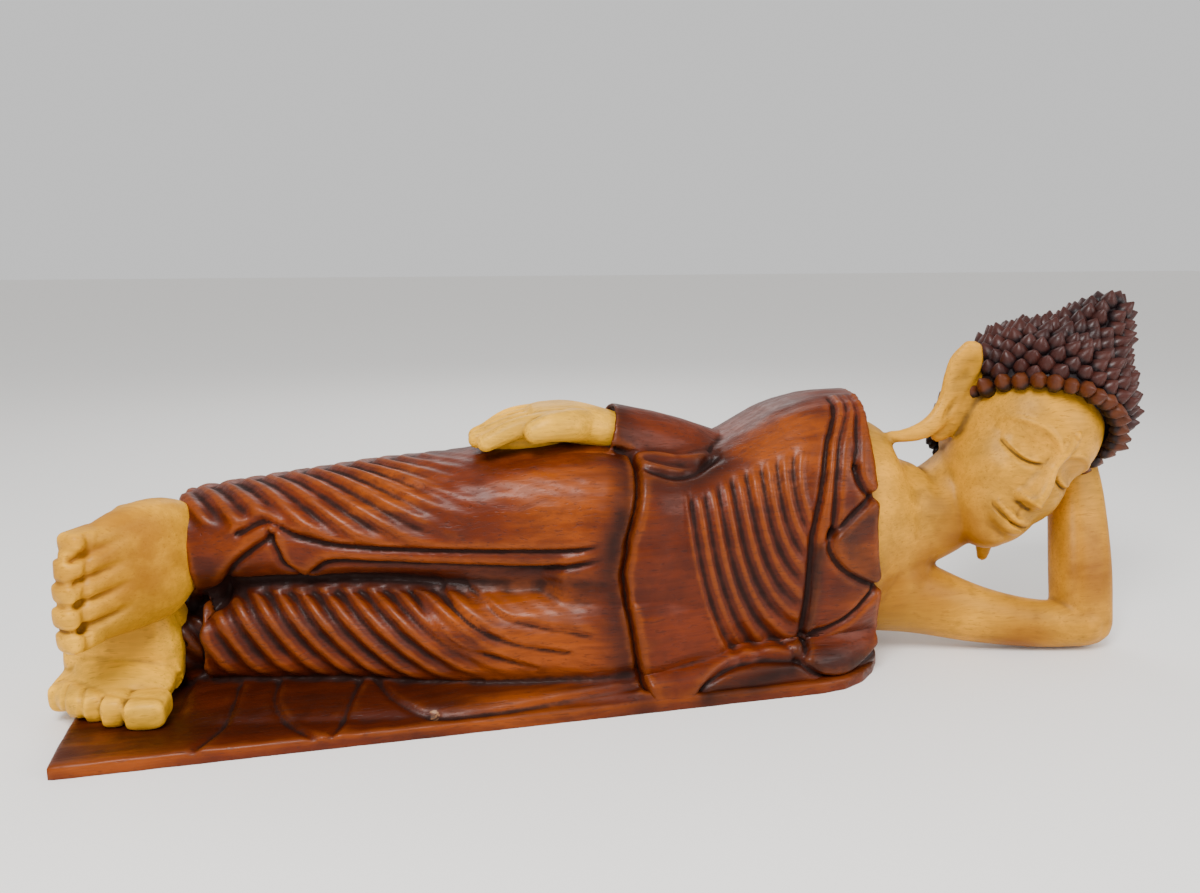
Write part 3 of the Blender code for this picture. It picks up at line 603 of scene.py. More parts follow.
def add_face(bm):
    """The plain head without hair, in its own frame, as an egg that narrows to the chin."""
    add_ball(bm, (0, 4, 10), (39, 41, 43))
    add_ball(bm, (0, -4, 18), (37.5, 37, 38))
    add_ball(bm, (0, -7, -8), (35, 31, 40))
    add_ball(bm, (0, -12, -28), (26, 25, 28))
    add_ball(bm, (0, -18, -40), (17, 16, 16))


def add_ears(bm):
    """Long leaf-shaped ears. The right one's lobe reaches the shoulder and the left one's hangs free."""
    front = (0, 1, 0)
    add_tube(bm, RIGHT_EAR, sides=16, upright=front)
    add_ball(bm, (-43, 1, 4), (10, 6, 24))
    add_tube(bm, LEFT_EAR, upright=front)
    add_tube(bm, LEFT_LOBE, upright=front)


def bump(across, along, wide, high):
    """A smooth swelling, 1 in the middle."""
    return bell(across, wide) * bell(along, high)


def face_relief(points):
    """How far each point of the head's front comes forward, in the head's own frame."""
    x, y, z = points.T
    side = np.abs(x)
    # Cheeks, chin and the mound that carries the mouth
    relief = 2.6 * bump(side - 19, z + 16, 11, 11) + 2.8 * bump(x, z + 48, 9, 6)
    relief += 2.4 * bump(x, z + 34, 14, 9)
    # Eye sockets under long arched brows
    relief -= 3.4 * bump(side - 15, z - 4, 11, 8)
    brow = 8.5 + 7 * (1 - ((side - 17) / 17) ** 2)
    ends = smooth_step(2, 6, side) * (1 - smooth_step(27, 33, side))
    relief += 1.7 * bell(z - brow, 2.1) * ends
    # Closed lids: long low domes that end at a lash line, with a soft lower lid
    dome = np.clip(1 - ((side - 16) / 11.5) ** 2, 0, 1)
    above = z - (0.2 - 3.4 * dome)
    relief += 2.7 * dome**0.6 * smooth_step(-0.8, 1.0, above) * bell(np.maximum(above - 3, 0), 4)
    relief -= 1.1 * bell(above + 0.9, 0.9) * smooth_step(0, 0.25, dome)
    relief += 0.9 * dome * bell(above + 4.2, 2)
    # The nose: a ridge that widens and rises to its tip, with a wing on each side
    rise = smooth_step(18, -18, z)
    ridge = (3.0 + 7.8 * rise**1.4) * smooth_step(-24.5, -20.5, z) * smooth_step(26, 10, z)
    relief += ridge * bell(side, 3.2 + 2.3 * rise, 2.6)
    relief += 3.8 * bump(side - 6.4, z + 20, 2.8, 3.0)
    relief -= 1.2 * bump(side - 3.4, z + 23.6, 1.4, 1.0)
    # Lips with a bow in the upper one, a line between them and corners that turn up
    smile = -35.2 + 2.6 * (side / 13) ** 2
    bow = 2.6 - 0.7 * bell(side, 2) + 0.5 * bell(side - 4, 2)
    taper = np.sqrt(np.clip(1 - (side / 13.5) ** 2, 0, 1))
    relief += 2.4 * taper * bell(z - smile - 2.3, bow, 4)
    relief += 2.9 * taper * bell(z - smile + 2.7, 2.7, 4) * smooth_step(13, 9, side)
    relief -= 1.3 * taper * bell(z - smile, 0.9)
    relief -= 1.6 * bump(np.maximum(side - 12.5, 0), z - smile - 0.6, 1.6, 1.0)
    relief -= 1.3 * bump(x, z + 43, 8, 2)
    relief -= 0.7 * bump(x, z + 28, 1.6, 3)
    # The small round mark between the brows
    relief += 1.5 * np.sqrt(np.clip(1 - (x / 2.3) ** 2 - ((z - 22) / 2.3) ** 2, 0, 1))
    front = smooth_step(-8, -18, y) * smooth_step(-60, -54, z) * smooth_step(38, 30, side)
    return relief * front


def cap_point(reach, height, turn):
    """A point of the hair cap. The knot at the crown stands to the head's left."""
    shift = KNOT_SHIFT * float(smooth_step(45, 75, height))
    deep = 1.03 + 0.10 * float(smooth_step(0.1, 0.8, math.sin(turn)))
    return Vector((shift + reach * math.cos(turn), 2 + deep * reach * math.sin(turn), height))


def hairline(y):
    """The height of the hair's lower edge, high over the forehead and low at the nape."""
    return 12 - HAIR_SLOPE * y


def cap_stop(outline, length, here):
    """The cap's half width and height at a distance along its outline from the crown."""
    return np.interp(here, length, outline[:, 0]), np.interp(here, length, outline[:, 1])


def curl_places(pitch):
    """Where each curl stands on the hair cap and which way it points, in rings from the crown."""
    outline = along_curve(CAP, 120)
    length = np.concatenate([[0], np.cumsum(np.hypot(*np.diff(outline, axis=0).T))])
    rings = int(length[-1] / (0.86 * pitch))
    draw = np.random.default_rng(3)
    places = []
    rim_count = round(2 * math.pi * 42 / (0.9 * pitch))
    for k in range(rim_count):
        turn = k * 2 * math.pi / rim_count
        edge = [cap_point(reach, height, turn) for reach, height in outline]
        above = [point for point in edge if point.z > hairline(point.y) - 0.5]
        point = above[-1]
        places.append((point, Vector((math.cos(turn), math.sin(turn), 0.15)).normalized()))
    for ring in range(rings + 1):
        here = ring * length[-1] / rings
        reach, height = cap_stop(outline, length, here)
        before, after = (cap_stop(outline, length, here + step) for step in (-2, 2))
        slope_r, slope_z = after[0] - before[0], after[1] - before[1]
        count = max(1, round(2 * math.pi * reach / pitch))
        start = draw.uniform()
        for k in range(count):
            turn = (k + start + draw.uniform(-0.14, 0.14)) * 2 * math.pi / count
            point = cap_point(reach, height, turn)
            if point.z < hairline(point.y) + 0.4 * pitch or (point.x < -30 and point.z < 22):
                continue
            out = Vector((-slope_z * math.cos(turn), -slope_z * math.sin(turn), slope_r)).normalized()
            if ring == 0:
                out = Vector((0, 0, 1))
            places.append((point, (out + Vector((0, 0, 0.45))).normalized()))
    return places


def add_curl(bm, place, wide, height):
    """A pointed bud of hair that stands on the cap."""
    turns = np.linspace(0, 2 * math.pi, 8, endpoint=False)
    outline = ((0.9, -0.5), (1.1, 0.0), (1.0, 0.3), (0.6, 0.65), (0.1, 1.0))
    rings = [
        [place @ Vector((wide * r * math.cos(a), wide * r * math.sin(a), height * h)) for a in turns]
        for r, h in outline
    ]
    add_rings(bm, rings)


def slow_wave(points, length, seed):
    """Gentle unevenness between -1 and 1, with swells about as long as the given length."""
    draw = np.random.default_rng(seed)
    total = np.zeros(len(points))
    for _ in range(6):
        way = draw.normal(size=3)
        way /= np.linalg.norm(way)
        wave = length * draw.uniform(0.7, 1.5)
        total += np.sin(points @ way * 2 * math.pi / wave + draw.uniform(0, 6.28))
    return total / 6


def legs_high(z):
    """1 above the board's rim, 0 on it."""
    return smooth_step(8, 12, z)


def leg_relief(points, facing, looks):
    """How far the carving on the legs stands out from the plain cloth."""
    x, z = points[:, 0], points[:, 2]
    front = smooth_step(0.05, 0.5, -facing[:, 1])
    seam = np.interp(x, *np.array(SEAM, float).T)
    fold = np.interp(x, *np.array(LEG_FOLDS[1], float).T)
    legs = 1 - smooth_step(-30, -16, x)

    angle, half = limb_angle(points, UPPER_LEG)
    depth = np.abs(math.radians(98) - angle) * half
    fan = fan_of_ridges(x, depth, looks.ridge_pitch)
    strong = 0.06 + 0.94 * (1 - smooth_step(-135, -80, x))
    upper = smooth_step(fold - 2, fold + 6, z) * (1 - smooth_step(-34, -14, x))
    relief = looks.ridge_height * strong * upper * fan * (1 - smooth_step(55, 75, depth))

    angle, half = limb_angle(points, LOWER_LEG)
    depth = np.clip(math.radians(62) - angle, 0, 3) * half
    fan = fan_of_ridges(x, depth, looks.ridge_pitch)
    strong = 0.08 + 0.92 * (1 - smooth_step(-120, -62, x))
    lower = (1 - smooth_step(seam - 6, seam - 1, z)) * smooth_step(12, 21, z)
    relief += looks.ridge_height * strong * lower * fan * legs * front

    seen = points[:, [0, 2]]
    fade = front * (1 - smooth_step(-42, -24, x))
    relief += fade * folds(seen, LEG_FOLDS, looks.groove_depth, 1.7, 7)
    relief += fade * folds(seen, SOFT_FOLDS, 0.45 * looks.groove_depth, 1.0, 6)
    away = line_distance(seen, along_curve(SEAM, 30))[0]
    relief -= front * (3.4 - 2.6 * smooth_step(-120, -60, x)) * bell(away, 2.4)
    relief -= front * 4.5 * bell(away, 6) * (1 - smooth_step(-202, -184, x))

    # Where the tunic lies over this cloth, the cloth gives way
    past_edge = x - side_at(TUNIC_EDGE, z)
    shade = 1.6 * smooth_step(-16, -3, past_edge) + 4.5 * smooth_step(-3, 0.5, past_edge)
    return relief + back_folds(points, facing, looks) - shade * legs_high(z)


def back_folds(points, facing, looks):
    """Behind, fewer and broader folds run from the shoulder down to the feet."""
    x, z = points[:, 0], points[:, 2]
    back = smooth_step(0.25, 0.7, facing[:, 1]) * smooth_step(14, 24, z) * smooth_step(-206, -190, x)
    reach = np.hypot(x - 96, 1.5 * (z - 118))
    rounded = np.abs(np.sin(math.pi * reach / (2.2 * looks.ridge_pitch))) ** 0.75
    return 0.7 * looks.ridge_height * back * rounded


def near_spots(points, spots, power=2):
    """1 in the middle of each spot, falling away within its reach."""
    near = np.zeros(len(points))
    for *place, reach in spots:
        near = np.maximum(near, bell(np.linalg.norm(points - place, axis=1), reach, power))
    return near


def board_relief(points, facing, looks):
    """The hems cut in the top of the board."""
    x, z = points[:, 0], points[:, 2]
    top = smooth_step(0.2, 0.6, facing[:, 2]) * (1 - smooth_step(16, 22, z)) * smooth_step(2, 4, z)
    relief = top * (x < -2) * folds(points[:, :2], BOARD_LINES, 0.5 * looks.groove_depth, 0.6, 6)
    return relief - 1.2 * near_spots(points, [CHIP]) + 0.25 * slow_wave(points, 14, 5)


def tunic_relief(points, facing, looks):
    """How far the carving on the tunic and the shawl stands out from the plain cloth."""
    x, y, z = points.T
    front = smooth_step(0.05, 0.5, -facing[:, 1])

    # The folds hang from the shoulder in nested half rings and die out under the sleeve
    reach = np.hypot(x - 84, (z - 102) / 1.6)
    rings = 0.5 + 0.5 * np.cos(2 * math.pi * (reach - 73) / looks.ring_pitch)
    tunic = front * smooth_step(10, 16, reach) * (1 - smooth_step(71, 75, reach))
    past_border = x - side_at(PLEATS[0], z)
    tunic = tunic * (1 - smooth_step(-7, -2, past_border)) * smooth_step(14, 26, z)
    under_sleeve = smooth_step(94, 102, z - 0.35 * np.maximum(x - 20, 0))
    relief = looks.ring_height * (rings - 0.5) * tunic * (1 - under_sleeve)

    # The shawl over the shoulder: its border stands proud of the rings, with folded ends
    shawl = smooth_step(-1.0, 0.6, past_border) * smooth_step(20, 24, z)
    relief += looks.hem_height * front * shawl
    seen = points[:, [0, 2]]
    relief += front * folds(seen, PLEATS, looks.groove_depth, 0.5, 4) + 0.25 * slow_wave(points, 11, 3)
    relief += front * folds(seen, SHAWL_FOLDS, 1.2 * looks.groove_depth, 1.5, 9)
    relief += front * folds(seen, SLEEVE_FOLDS, 1.3 * looks.groove_depth, 1.2, 5)
    relief += back_folds(points, facing, looks)

    # The wavy end lies over the leg cloth, and what is past it runs in under that cloth
    past_edge = x - side_at(TUNIC_EDGE, z)
    rows = np.array(SLEEVE[::-1], float)
    middle_y, middle_z, deep, high = (np.interp(x, rows[:, 0], rows[:, k]) for k in (1, 2, 3, 4))
    off_sleeve = smooth_step(1.08, 1.25, np.hypot((y - middle_y) / deep, (z - middle_z) / high))
    hem = looks.hem_height * (1 - smooth_step(8, 30, past_edge)) * smooth_step(0, 2, past_edge)
    return relief + (hem - 5 * smooth_step(0.6, -0.9, past_edge)) * off_sleeve


def hollow_ends(points, facing, ends, deep):
    """How far the cloth is hollowed along X at the ends of its tubes."""
    hollow = np.zeros(len(points))
    x, y, z = points.T
    for end_x, middle_y, middle_z, wide, high in ends:
        reach = np.hypot((y - middle_y) / wide, (z - middle_z) / high)
        close = (np.abs(x - end_x) < 12) & (facing[:, 0] < -0.6)
        hollow = np.maximum(hollow, deep * close * (1 - smooth_step(0.78, 0.9, reach)))
    return hollow


def add_trunk(bm):
    """The cloth over the legs and the body, without the arm."""
    add_cut_tube(bm, SKIRT, SHOULDER_EDGE, squareness=2.4)
    add_cut_tube(bm, LOWER_LEG, LOWER_CUFF, squareness=2.8)
    add_cut_tube(bm, UPPER_LEG, UPPER_CUFF, squareness=2.3)
    add_tube(bm, BETWEEN_LEGS, squareness=3)
    add_cut_tube(bm, TORSO, SHOULDER_EDGE, sides=36, squareness=2.5)
    add_ball(bm, (-4, -3, 66), (52, 50, 52))


def trim(bm, x, side):
    """Cuts every form at a place along X and keeps what lies on the given side."""
    cut_away(bm, (x, 0, 0), (side, 0, 0), inner=True)


def new_piece(name, bm):
    """A piece of the figure from finished forms."""
    mesh = bpy.data.meshes.new(name)
    bm.to_mesh(mesh)
    bm.free()
    piece = bpy.data.objects.new(name, mesh)
    bpy.context.scene.collection.objects.link(piece)
    return piece


def pick(piece):
    """Selects one piece alone."""
    bpy.ops.object.select_all(action="DESELECT")
    piece.select_set(True)
    bpy.context.view_layer.objects.active = piece


def apply_modifier(piece, kind, **settings):
    """Adds a modifier to a piece and applies it."""
    pick(piece)
    modifier = piece.modifiers.new(kind.lower(), kind)
    for key, value in settings.items():
        setattr(modifier, key, value)
    bpy.ops.object.modifier_apply(modifier=modifier.name)


def melt(piece, voxel, rounds):
    """Melts a piece's forms into one skin and softens the joins between them."""
    apply_modifier(piece, "REMESH", mode="VOXEL", voxel_size=voxel)
    apply_modifier(piece, "SMOOTH", factor=0.5, iterations=rounds)


def cut_level(piece):
    """Cuts a piece level with the underside of the board."""
    pick(piece)
    bpy.ops.object.mode_set(mode="EDIT")
    bpy.ops.mesh.select_all(action="SELECT")
    bpy.ops.mesh.bisect(plane_co=(0, 0, 0), plane_no=(0, 0, 1), use_fill=True, clear_inner=True)
    bpy.ops.object.mode_set(mode="OBJECT")


def move_points(piece, relief):
    """Moves a piece's points along the way they face, by the relief that a function gives."""
    points, facing = points_of(piece.data)
    set_points(piece.data, points + facing * relief(points, facing)[:, None])


def blurred(mesh, values, rounds):
    """Values at a mesh's points, each mixed with its neighbours' a number of times."""
    edges = np.zeros(len(mesh.edges) * 2, np.int32)
    mesh.edges.foreach_get("vertices", edges)
    start, end = edges.reshape(-1, 2).T
    count = len(mesh.vertices)
    degree = np.bincount(start, minlength=count) + np.bincount(end, minlength=count)
    for _ in range(rounds):
        total = [
            np.bincount(start, column[end], count) + np.bincount(end, column[start], count)
            for column in values.T
        ]
        values = 0.5 * values + 0.5 * np.array(total).T / degree[:, None]
    return values


def store(mesh, name, values):
    """Keeps one number for each point of a mesh, for the materials to read."""
    attribute = mesh.attributes.new(name, "FLOAT", "POINT")
    attribute.data.foreach_set("value", values.astype(np.float32))


def mark_worn_and_shaded(piece):
    """Marks where the wood is worn warm, where the hem is chipped, and where shade is painted dark, kept in
    the stain mark: along grooves and gaps, behind the lower ankle and on the board's top near the figure.
    """
    points, facing = points_of(piece.data)
    store(piece.data, "worn", near_spots(points, WORN_SPOTS))
    store(piece.data, "chip", near_spots(points, [CHIP], 4))
    x, y, z = points.T
    # The stain mark holds painted shade, dark along the grooves and gaps where shadow falls
    stain = np.zeros(len(points))
    for stops, reach in SHADE_LINES:
        stain = np.maximum(stain, bell(line_distance(points[:, [0, 2]], stops)[0], reach))
    # Painted shade on the board's top, darker nearer the figure that overhangs it
    board = smooth_step(0.3, 0.8, facing[:, 2]) * smooth_step(17, 10, z)
    board *= 0.35 + 0.5 * smooth_step(-66, -44, y)
    # Painted shade in the gap behind the lower ankle, under the cuff
    under_cuff = 1.6 * smooth_step(-206, -213, x) * smooth_step(60, 50, z) * smooth_step(11, 16, z)
    stain = np.maximum(stain * smooth_step(14, -2, y), np.maximum(board, under_cuff))
    store(piece.data, "stain", stain)


def mark_dust(piece):
    """Marks where shade is painted on the skin."""
    points, _ = points_of(piece.data)
    store(piece.data, "painted_shade", near_spots(points, SHADED_SKIN_SPOTS))


def mark_relief(piece, rounds, depth):
    """Marks crests towards 1 and recesses towards 0, against the skin blurred over some rounds."""
    mesh = piece.data
    points, facing = points_of(mesh)
    near = blurred(mesh, points, rounds)
    store(mesh, "relief", np.clip(0.5 + ((points - near) * facing).sum(1) / depth, 0, 1))


def finish_piece(piece, material):
    """Scales a finished piece to metres, shades it smooth and ties it to the figure."""
    piece.data.transform(Matrix.Scale(MM, 4))
    piece.data.materials.append(material)
    pick(piece)
    bpy.ops.object.shade_smooth()
    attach(piece, BODY)
    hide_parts(NODE)


class Nodes:
    """Adds shader nodes to a tree and joins them up."""

    def __init__(self, tree):
        self.tree = tree

    def join(self, value, socket):
        """Joins one node's output to another's input."""
        self.tree.links.new(value, socket)

    def fill(self, socket, value):
        """Joins an output to a socket, or sets the socket to a plain value."""
        if isinstance(value, bpy.types.NodeSocket):
            self.join(value, socket)
        else:
            socket.default_value = value

    def add(self, kind, out, fields=(), **inputs):
        """A node, with its fields set and its inputs joined or given values. Returns one output."""
        node = self.tree.nodes.new("ShaderNode" + kind)
        for field, value in dict(fields).items():
            setattr(node, field, value)
        for name, value in inputs.items():
            place = int(name[1:]) if name[1:].isdigit() else name.replace("_", " ")
            self.fill(node.inputs[place], value)
        return node.outputs[out]

    def shared(self, name, maker, **inputs):
        """A node group, made the first time that it is asked for. Returns its outputs."""
        node = self.tree.nodes.new("ShaderNodeGroup")
        node.node_tree = bpy.data.node_groups.get(name) or maker(name)
        for label, value in inputs.items():
            self.fill(node.inputs[label.replace("_", " ")], value)
        return node.outputs

    def mark(self, name):
        """A number kept at each point of a piece."""
        return self.add("Attribute", "Fac", {"attribute_name": name})

    def ramp(self, value, low, high, start=0.0, end=1.0):
        """A value taken smoothly from one range to another."""
        fields = {"interpolation_type": "SMOOTHSTEP"}
        return self.add("MapRange", 0, fields, i0=value, i1=low, i2=high, i3=start, i4=end)

    def maths(self, operation, first, second):
        """A sum done on two numbers."""
        return self.add("Math", 0, {"operation": operation}, i0=first, i1=second)

    def plus(self, first, second):
        """Two numbers added."""
        return self.maths("ADD", first, second)

    def times(self, first, second):
        """Two numbers multiplied."""
        return self.maths("MULTIPLY", first, second)

    def vector(self, operation, first, **second):
        """A sum done on a direction or a place."""
        return self.add("VectorMath", 0, {"operation": operation}, i0=first, **second)

    def blend(self, share, first, second):
        """Two colours blended."""
        return self.add("Mix", 2, {"data_type": "RGBA"}, i0=share, i6=first, i7=second)

    def layers(self, colour, *rows):
        """A colour with others laid over it. Each row is a mask, its strength and a colour."""
        for mask, strength, tone in rows:
            colour = self.blend(self.times(mask, strength), colour, (*tone, 1))
        return colour

    def noise(self, place, scale, detail, rough, out=0):
        """Cloudy noise at a place given in millimetres."""
        return self.add("TexNoise", out, Vector=place, Scale=scale, Detail=detail, Roughness=rough)

    def finish(self, surface, colour, dull, fine, strength, distance, specular):
        """Joins the colour, the roughness and the fine relief to a surface."""
        self.join(colour, surface.inputs["Base Color"])
        self.join(dull, surface.inputs["Roughness"])
        normal = self.add("Bump", 0, Height=fine, Strength=strength, Distance=distance * MM)
        self.join(normal, surface.inputs["Normal"])
        surface.inputs["Specular IOR Level"].default_value = specular


def new_group(name, inputs, outputs):
    """An empty shader node group with named inputs and outputs."""
    group = bpy.data.node_groups.new(name, "ShaderNodeTree")
    for label, kind, value in inputs:
        socket = group.interface.new_socket(label, in_out="INPUT", socket_type="NodeSocket" + kind)
        if value is not None:
            socket.default_value = value
    for label in outputs:
        group.interface.new_socket(label, in_out="OUTPUT", socket_type="NodeSocketFloat")
    given = group.nodes.new("NodeGroupInput").outputs
    result = group.nodes.new("NodeGroupOutput").inputs
    return group, Nodes(group), given, result


def grain_group(name):
    """Wood grain along X: fine lines, broad growth bands, clouds of tone and pores."""
    inputs = [("Place", "Vector", None), ("Line Spacing", "Float", 1.0), ("Band Spacing", "Float", 8.0)]
    outputs = ("Lines", "Bands", "Clouds", "Blotches", "Pores")
    group, nodes, given, result = new_group(name, inputs, outputs)
    place = nodes.vector("SCALE", given["Place"], i3=1 / MM)
    drift = nodes.add("TexNoise", 1, Vector=place, Scale=0.02, Detail=2.0)
    place = nodes.vector("ADD", place, i1=nodes.vector("SCALE", drift, i3=9.0))
    long = nodes.vector("MULTIPLY", place, i1=(0.05, 1.0, 1.0))
    lines = nodes.noise(long, nodes.maths("DIVIDE", 0.5, given["Line Spacing"]), 2.0, 0.6)
    nodes.join(nodes.ramp(lines, 0.38, 0.62), result["Lines"])
    bands = nodes.noise(long, nodes.maths("DIVIDE", 0.5, given["Band Spacing"]), 3.0, 0.5)
    nodes.join(nodes.ramp(bands, 0.35, 0.65), result["Bands"])
    clouds = nodes.noise(place, 0.022, 4.0, 0.6)
    nodes.join(nodes.ramp(clouds, 0.33, 0.67), result["Clouds"])
    blotches = nodes.noise(place, 0.055, 4.0, 0.62)
    nodes.join(nodes.ramp(blotches, 0.50, 0.70), result["Blotches"])
    short = nodes.vector("MULTIPLY", place, i1=(0.16, 1.0, 1.0))
    pores = nodes.noise(short, 1.1, 1.0, 0.5)
    nodes.join(nodes.ramp(pores, 0.30, 0.38, 1.0, 0.0), result["Pores"])
    return group


def wear_group(name):
    """Painted shade in recesses, together with the dirt and stain gathered there, and polish that comes up
    on crests, broken up by noise.
    """
    inputs = [("Place", "Vector", None), ("Relief", "Float", 0.5), ("Spread", "Float", 0.2)]
    group, nodes, given, result = new_group(name, inputs, ("Crest", "Recess"))
    place = nodes.vector("SCALE", given["Place"], i3=1 / MM)
    patchy = nodes.maths("SUBTRACT", nodes.noise(place, 0.11, 4.0, 0.65), 0.5)
    level = nodes.plus(given["Relief"], nodes.times(patchy, given["Spread"]))
    nodes.join(nodes.ramp(level, 0.55, 0.85), result["Crest"])
    nodes.join(nodes.ramp(level, 0.47, 0.15), result["Recess"])
    return group


def start_material(name, lines, bands, spread):
    """A material and its surface, with the wood's grain, its wear and the painted shade in its recesses.
    Spacings are in millimetres.
    """
    material = bpy.data.materials.new(name)
    material.use_nodes = True
    nodes = Nodes(material.node_tree)
    surface = material.node_tree.nodes["Principled BSDF"]
    place = nodes.add("TexCoord", "Object")
    relief = nodes.mark("relief")
    grain = nodes.shared("wood_grain", grain_group, Place=place, Line_Spacing=lines, Band_Spacing=bands)
    wear_and_shade = nodes.shared("carving_wear", wear_group, Place=place, Relief=relief, Spread=spread)
    return material, nodes, surface, grain, wear_and_shade


def cloth_material(name, looks):
    """Stained and waxed red-brown wood, worn to orange on the crests, with painted shade in the recesses,
    grooves and gaps.
    """
    material, nodes, surface, grain, wear_and_shade = start_material(name, 1.1, 7.0, 0.3)
    tone = nodes.plus(nodes.times(grain["Clouds"], 0.55), nodes.times(grain["Bands"], 0.35))
    worn = nodes.ramp(nodes.times(nodes.mark("worn"), nodes.plus(0.4, grain["Bands"])), 0.1, 0.9)
    # Painted shade along the grooves, the gaps and the board's top, read from the stain mark
    stain = nodes.times(nodes.mark("stain"), nodes.plus(0.35, nodes.times(grain["Clouds"], 0.6)))
    chip = nodes.times(nodes.mark("chip"), nodes.plus(0.4, nodes.times(grain["Lines"], 0.6)))
    colour = nodes.layers(
        nodes.blend(tone, (*looks.deep_colour, 1), (*looks.warm_colour, 1)),
        (worn, 0.8, looks.amber_colour),
        (grain["Blotches"], 0.4, looks.deep_colour),
        (wear_and_shade["Crest"], 0.5, looks.crest_colour),
        (grain["Lines"], 0.22, (0.02, 0.004, 0.002)),
        (grain["Pores"], 0.35, (0.015, 0.004, 0.003)),
        # Painted shade in the recesses, with the stain gathered there
        (wear_and_shade["Recess"], 0.9, looks.recess_shade_colour),
        # Painted shade along the grooves and gaps
        (stain, 1, looks.recess_shade_colour),
        (nodes.ramp(chip, 0.3, 0.6), 1, looks.chip_colour),
    )
    dull = nodes.plus(0.36, nodes.times(wear_and_shade["Recess"], 0.35))
    dull = nodes.plus(dull, nodes.times(grain["Lines"], 0.10))
    fine = nodes.maths("SUBTRACT", nodes.times(grain["Lines"], -0.5), grain["Pores"])
    nodes.finish(surface, colour, dull, fine, 0.35, 0.25, 0.16)
    surface.inputs["Coat Weight"].default_value = 0.035
    surface.inputs["Coat Roughness"].default_value = 0.16
    return material


def skin_material(name, looks, yellow):
    """Bare pale wood, golden on the crests, with dust and painted shade in the recesses and painted shade
    where the skin falls in shadow.
    """
    material, nodes, surface, grain, wear_and_shade = start_material(name, 0.8, 5.0, 0.35)
    plain = Vector(looks.skin_colour).lerp(Vector(looks.yellow_colour), yellow)
    painted_shade = nodes.times(nodes.mark("painted_shade"), nodes.plus(0.75, nodes.times(grain["Bands"], 0.22)))
    colour = nodes.layers(
        (*plain, 1),
        (grain["Clouds"], 0.7, (0.42 * plain.x, 0.46 * plain.y, 0.9 * plain.z)),
        (grain["Blotches"], 0.55, plain * 0.34),
        (grain["Bands"], 0.3, plain * 0.45),
        (wear_and_shade["Crest"], 0.5, plain * 1.2),
        (grain["Lines"], 0.16, looks.dirt_and_shade_colour),
        (grain["Pores"], 0.3, looks.dirt_and_shade_colour),
        # Dust with painted shade in the recesses
        (wear_and_shade["Recess"], 0.85, looks.dirt_and_shade_colour),
        # Painted shade where the skin falls in shadow
        (painted_shade, 1, (0.30 * plain.x, 0.21 * plain.y, 0.13 * plain.z)),
    )
    dull = nodes.plus(0.44, nodes.times(wear_and_shade["Recess"], 0.25))
    fine = nodes.maths("SUBTRACT", nodes.times(grain["Lines"], -0.4), grain["Pores"])
    nodes.finish(surface, colour, dull, fine, 0.25, 0.2, 0.15)
    return material


def hair_material(name, looks):
    """Nearly black wood with reddish tips, orange-brown curls along the hairline and painted shade at the
    foot of each curl.
    """
    material, nodes, surface, grain, wear_and_shade = start_material(name, 0.9, 6.0, 0.5)
    colour = nodes.layers(
        nodes.blend(grain["Clouds"], (*looks.hair_colour, 1), (*looks.tip_colour, 1)),
        (nodes.mark("hairline"), 1, looks.rim_colour),
        (wear_and_shade["Crest"], 0.4, looks.tip_colour),
        # Painted shade at the foot of each curl
        (wear_and_shade["Recess"], 0.9, (0.006, 0.004, 0.005)),
    )
    dull = nodes.plus(0.34, nodes.times(grain["Lines"], 0.15))
    nodes.finish(surface, colour, dull, grain["Lines"], 0.2, 0.2, 0.22)
    return material


def size_field(name, description, default, least=0.0):
    """A size that can be set in the panel, in millimetres."""
    return FloatProperty(name=name, description=description + ", in millimetres", default=default, min=least)


def colour_field(name, description, default):
    """A colour that can be set in the panel."""
    return FloatVectorProperty(
        name=name, description=description, subtype="COLOR", default=default, min=0, max=1
    )


class ClothLooks(bpy.types.PropertyGroup):
    """Sizes and colours of the robe and the board."""

    ridge_pitch: size_field("Ridge Pitch", "Distance between the ridges on the legs", 10.5, 4)
    ridge_height: size_field("Ridge Height", "How far the ridges on the legs stand out", 2.4)
    ring_pitch: size_field("Ring Pitch", "Distance between the ring folds on the chest", 7.3, 3)
    ring_height: size_field("Ring Height", "How far the ring folds stand out", 1.9)
    hem_height: size_field("Hem Height", "How far the cloth's borders stand out", 1.8)
    groove_depth: size_field("Groove Depth", "How deep single folds are cut", 2.0)
    cuff_depth: size_field("Cuff Depth", "How deep the cuffs are hollowed", 8.0)
    deep_colour: colour_field("Deep Colour", "The stain at its darkest", (0.045, 0.0055, 0.0008))
    warm_colour: colour_field("Warm Colour", "The stain at its palest", (0.140, 0.0185, 0.0006))
    amber_colour: colour_field("Amber Colour", "Stain worn to a warm tone", (0.24, 0.046, 0.0006))
    crest_colour: colour_field("Crest Colour", "Wood that shows on crests", (0.25, 0.052, 0.0025))
    # Painted shade in recesses and grooves, with the stain gathered there
    recess_shade_colour: colour_field("Recess Colour", "Stain gathered in grooves", (0.0080, 0.0012, 0.0004))
    chip_colour: colour_field("Chip Colour", "Bare wood in the chip", (0.26, 0.12, 0.05))


class SkinLooks(bpy.types.PropertyGroup):
    """Colours of the bare wood of the skin."""

    skin_colour: colour_field("Skin Colour", "The bare wood", (0.67, 0.30, 0.014))
    yellow_colour: colour_field("Yellow Colour", "The bare wood of the feet", (1.0, 0.49, 0.018))
    # Dark grain, and dust with painted shade in recesses
    dirt_and_shade_colour: colour_field("Dirt Colour", "Dust gathered in recesses", (0.075, 0.034, 0.007))


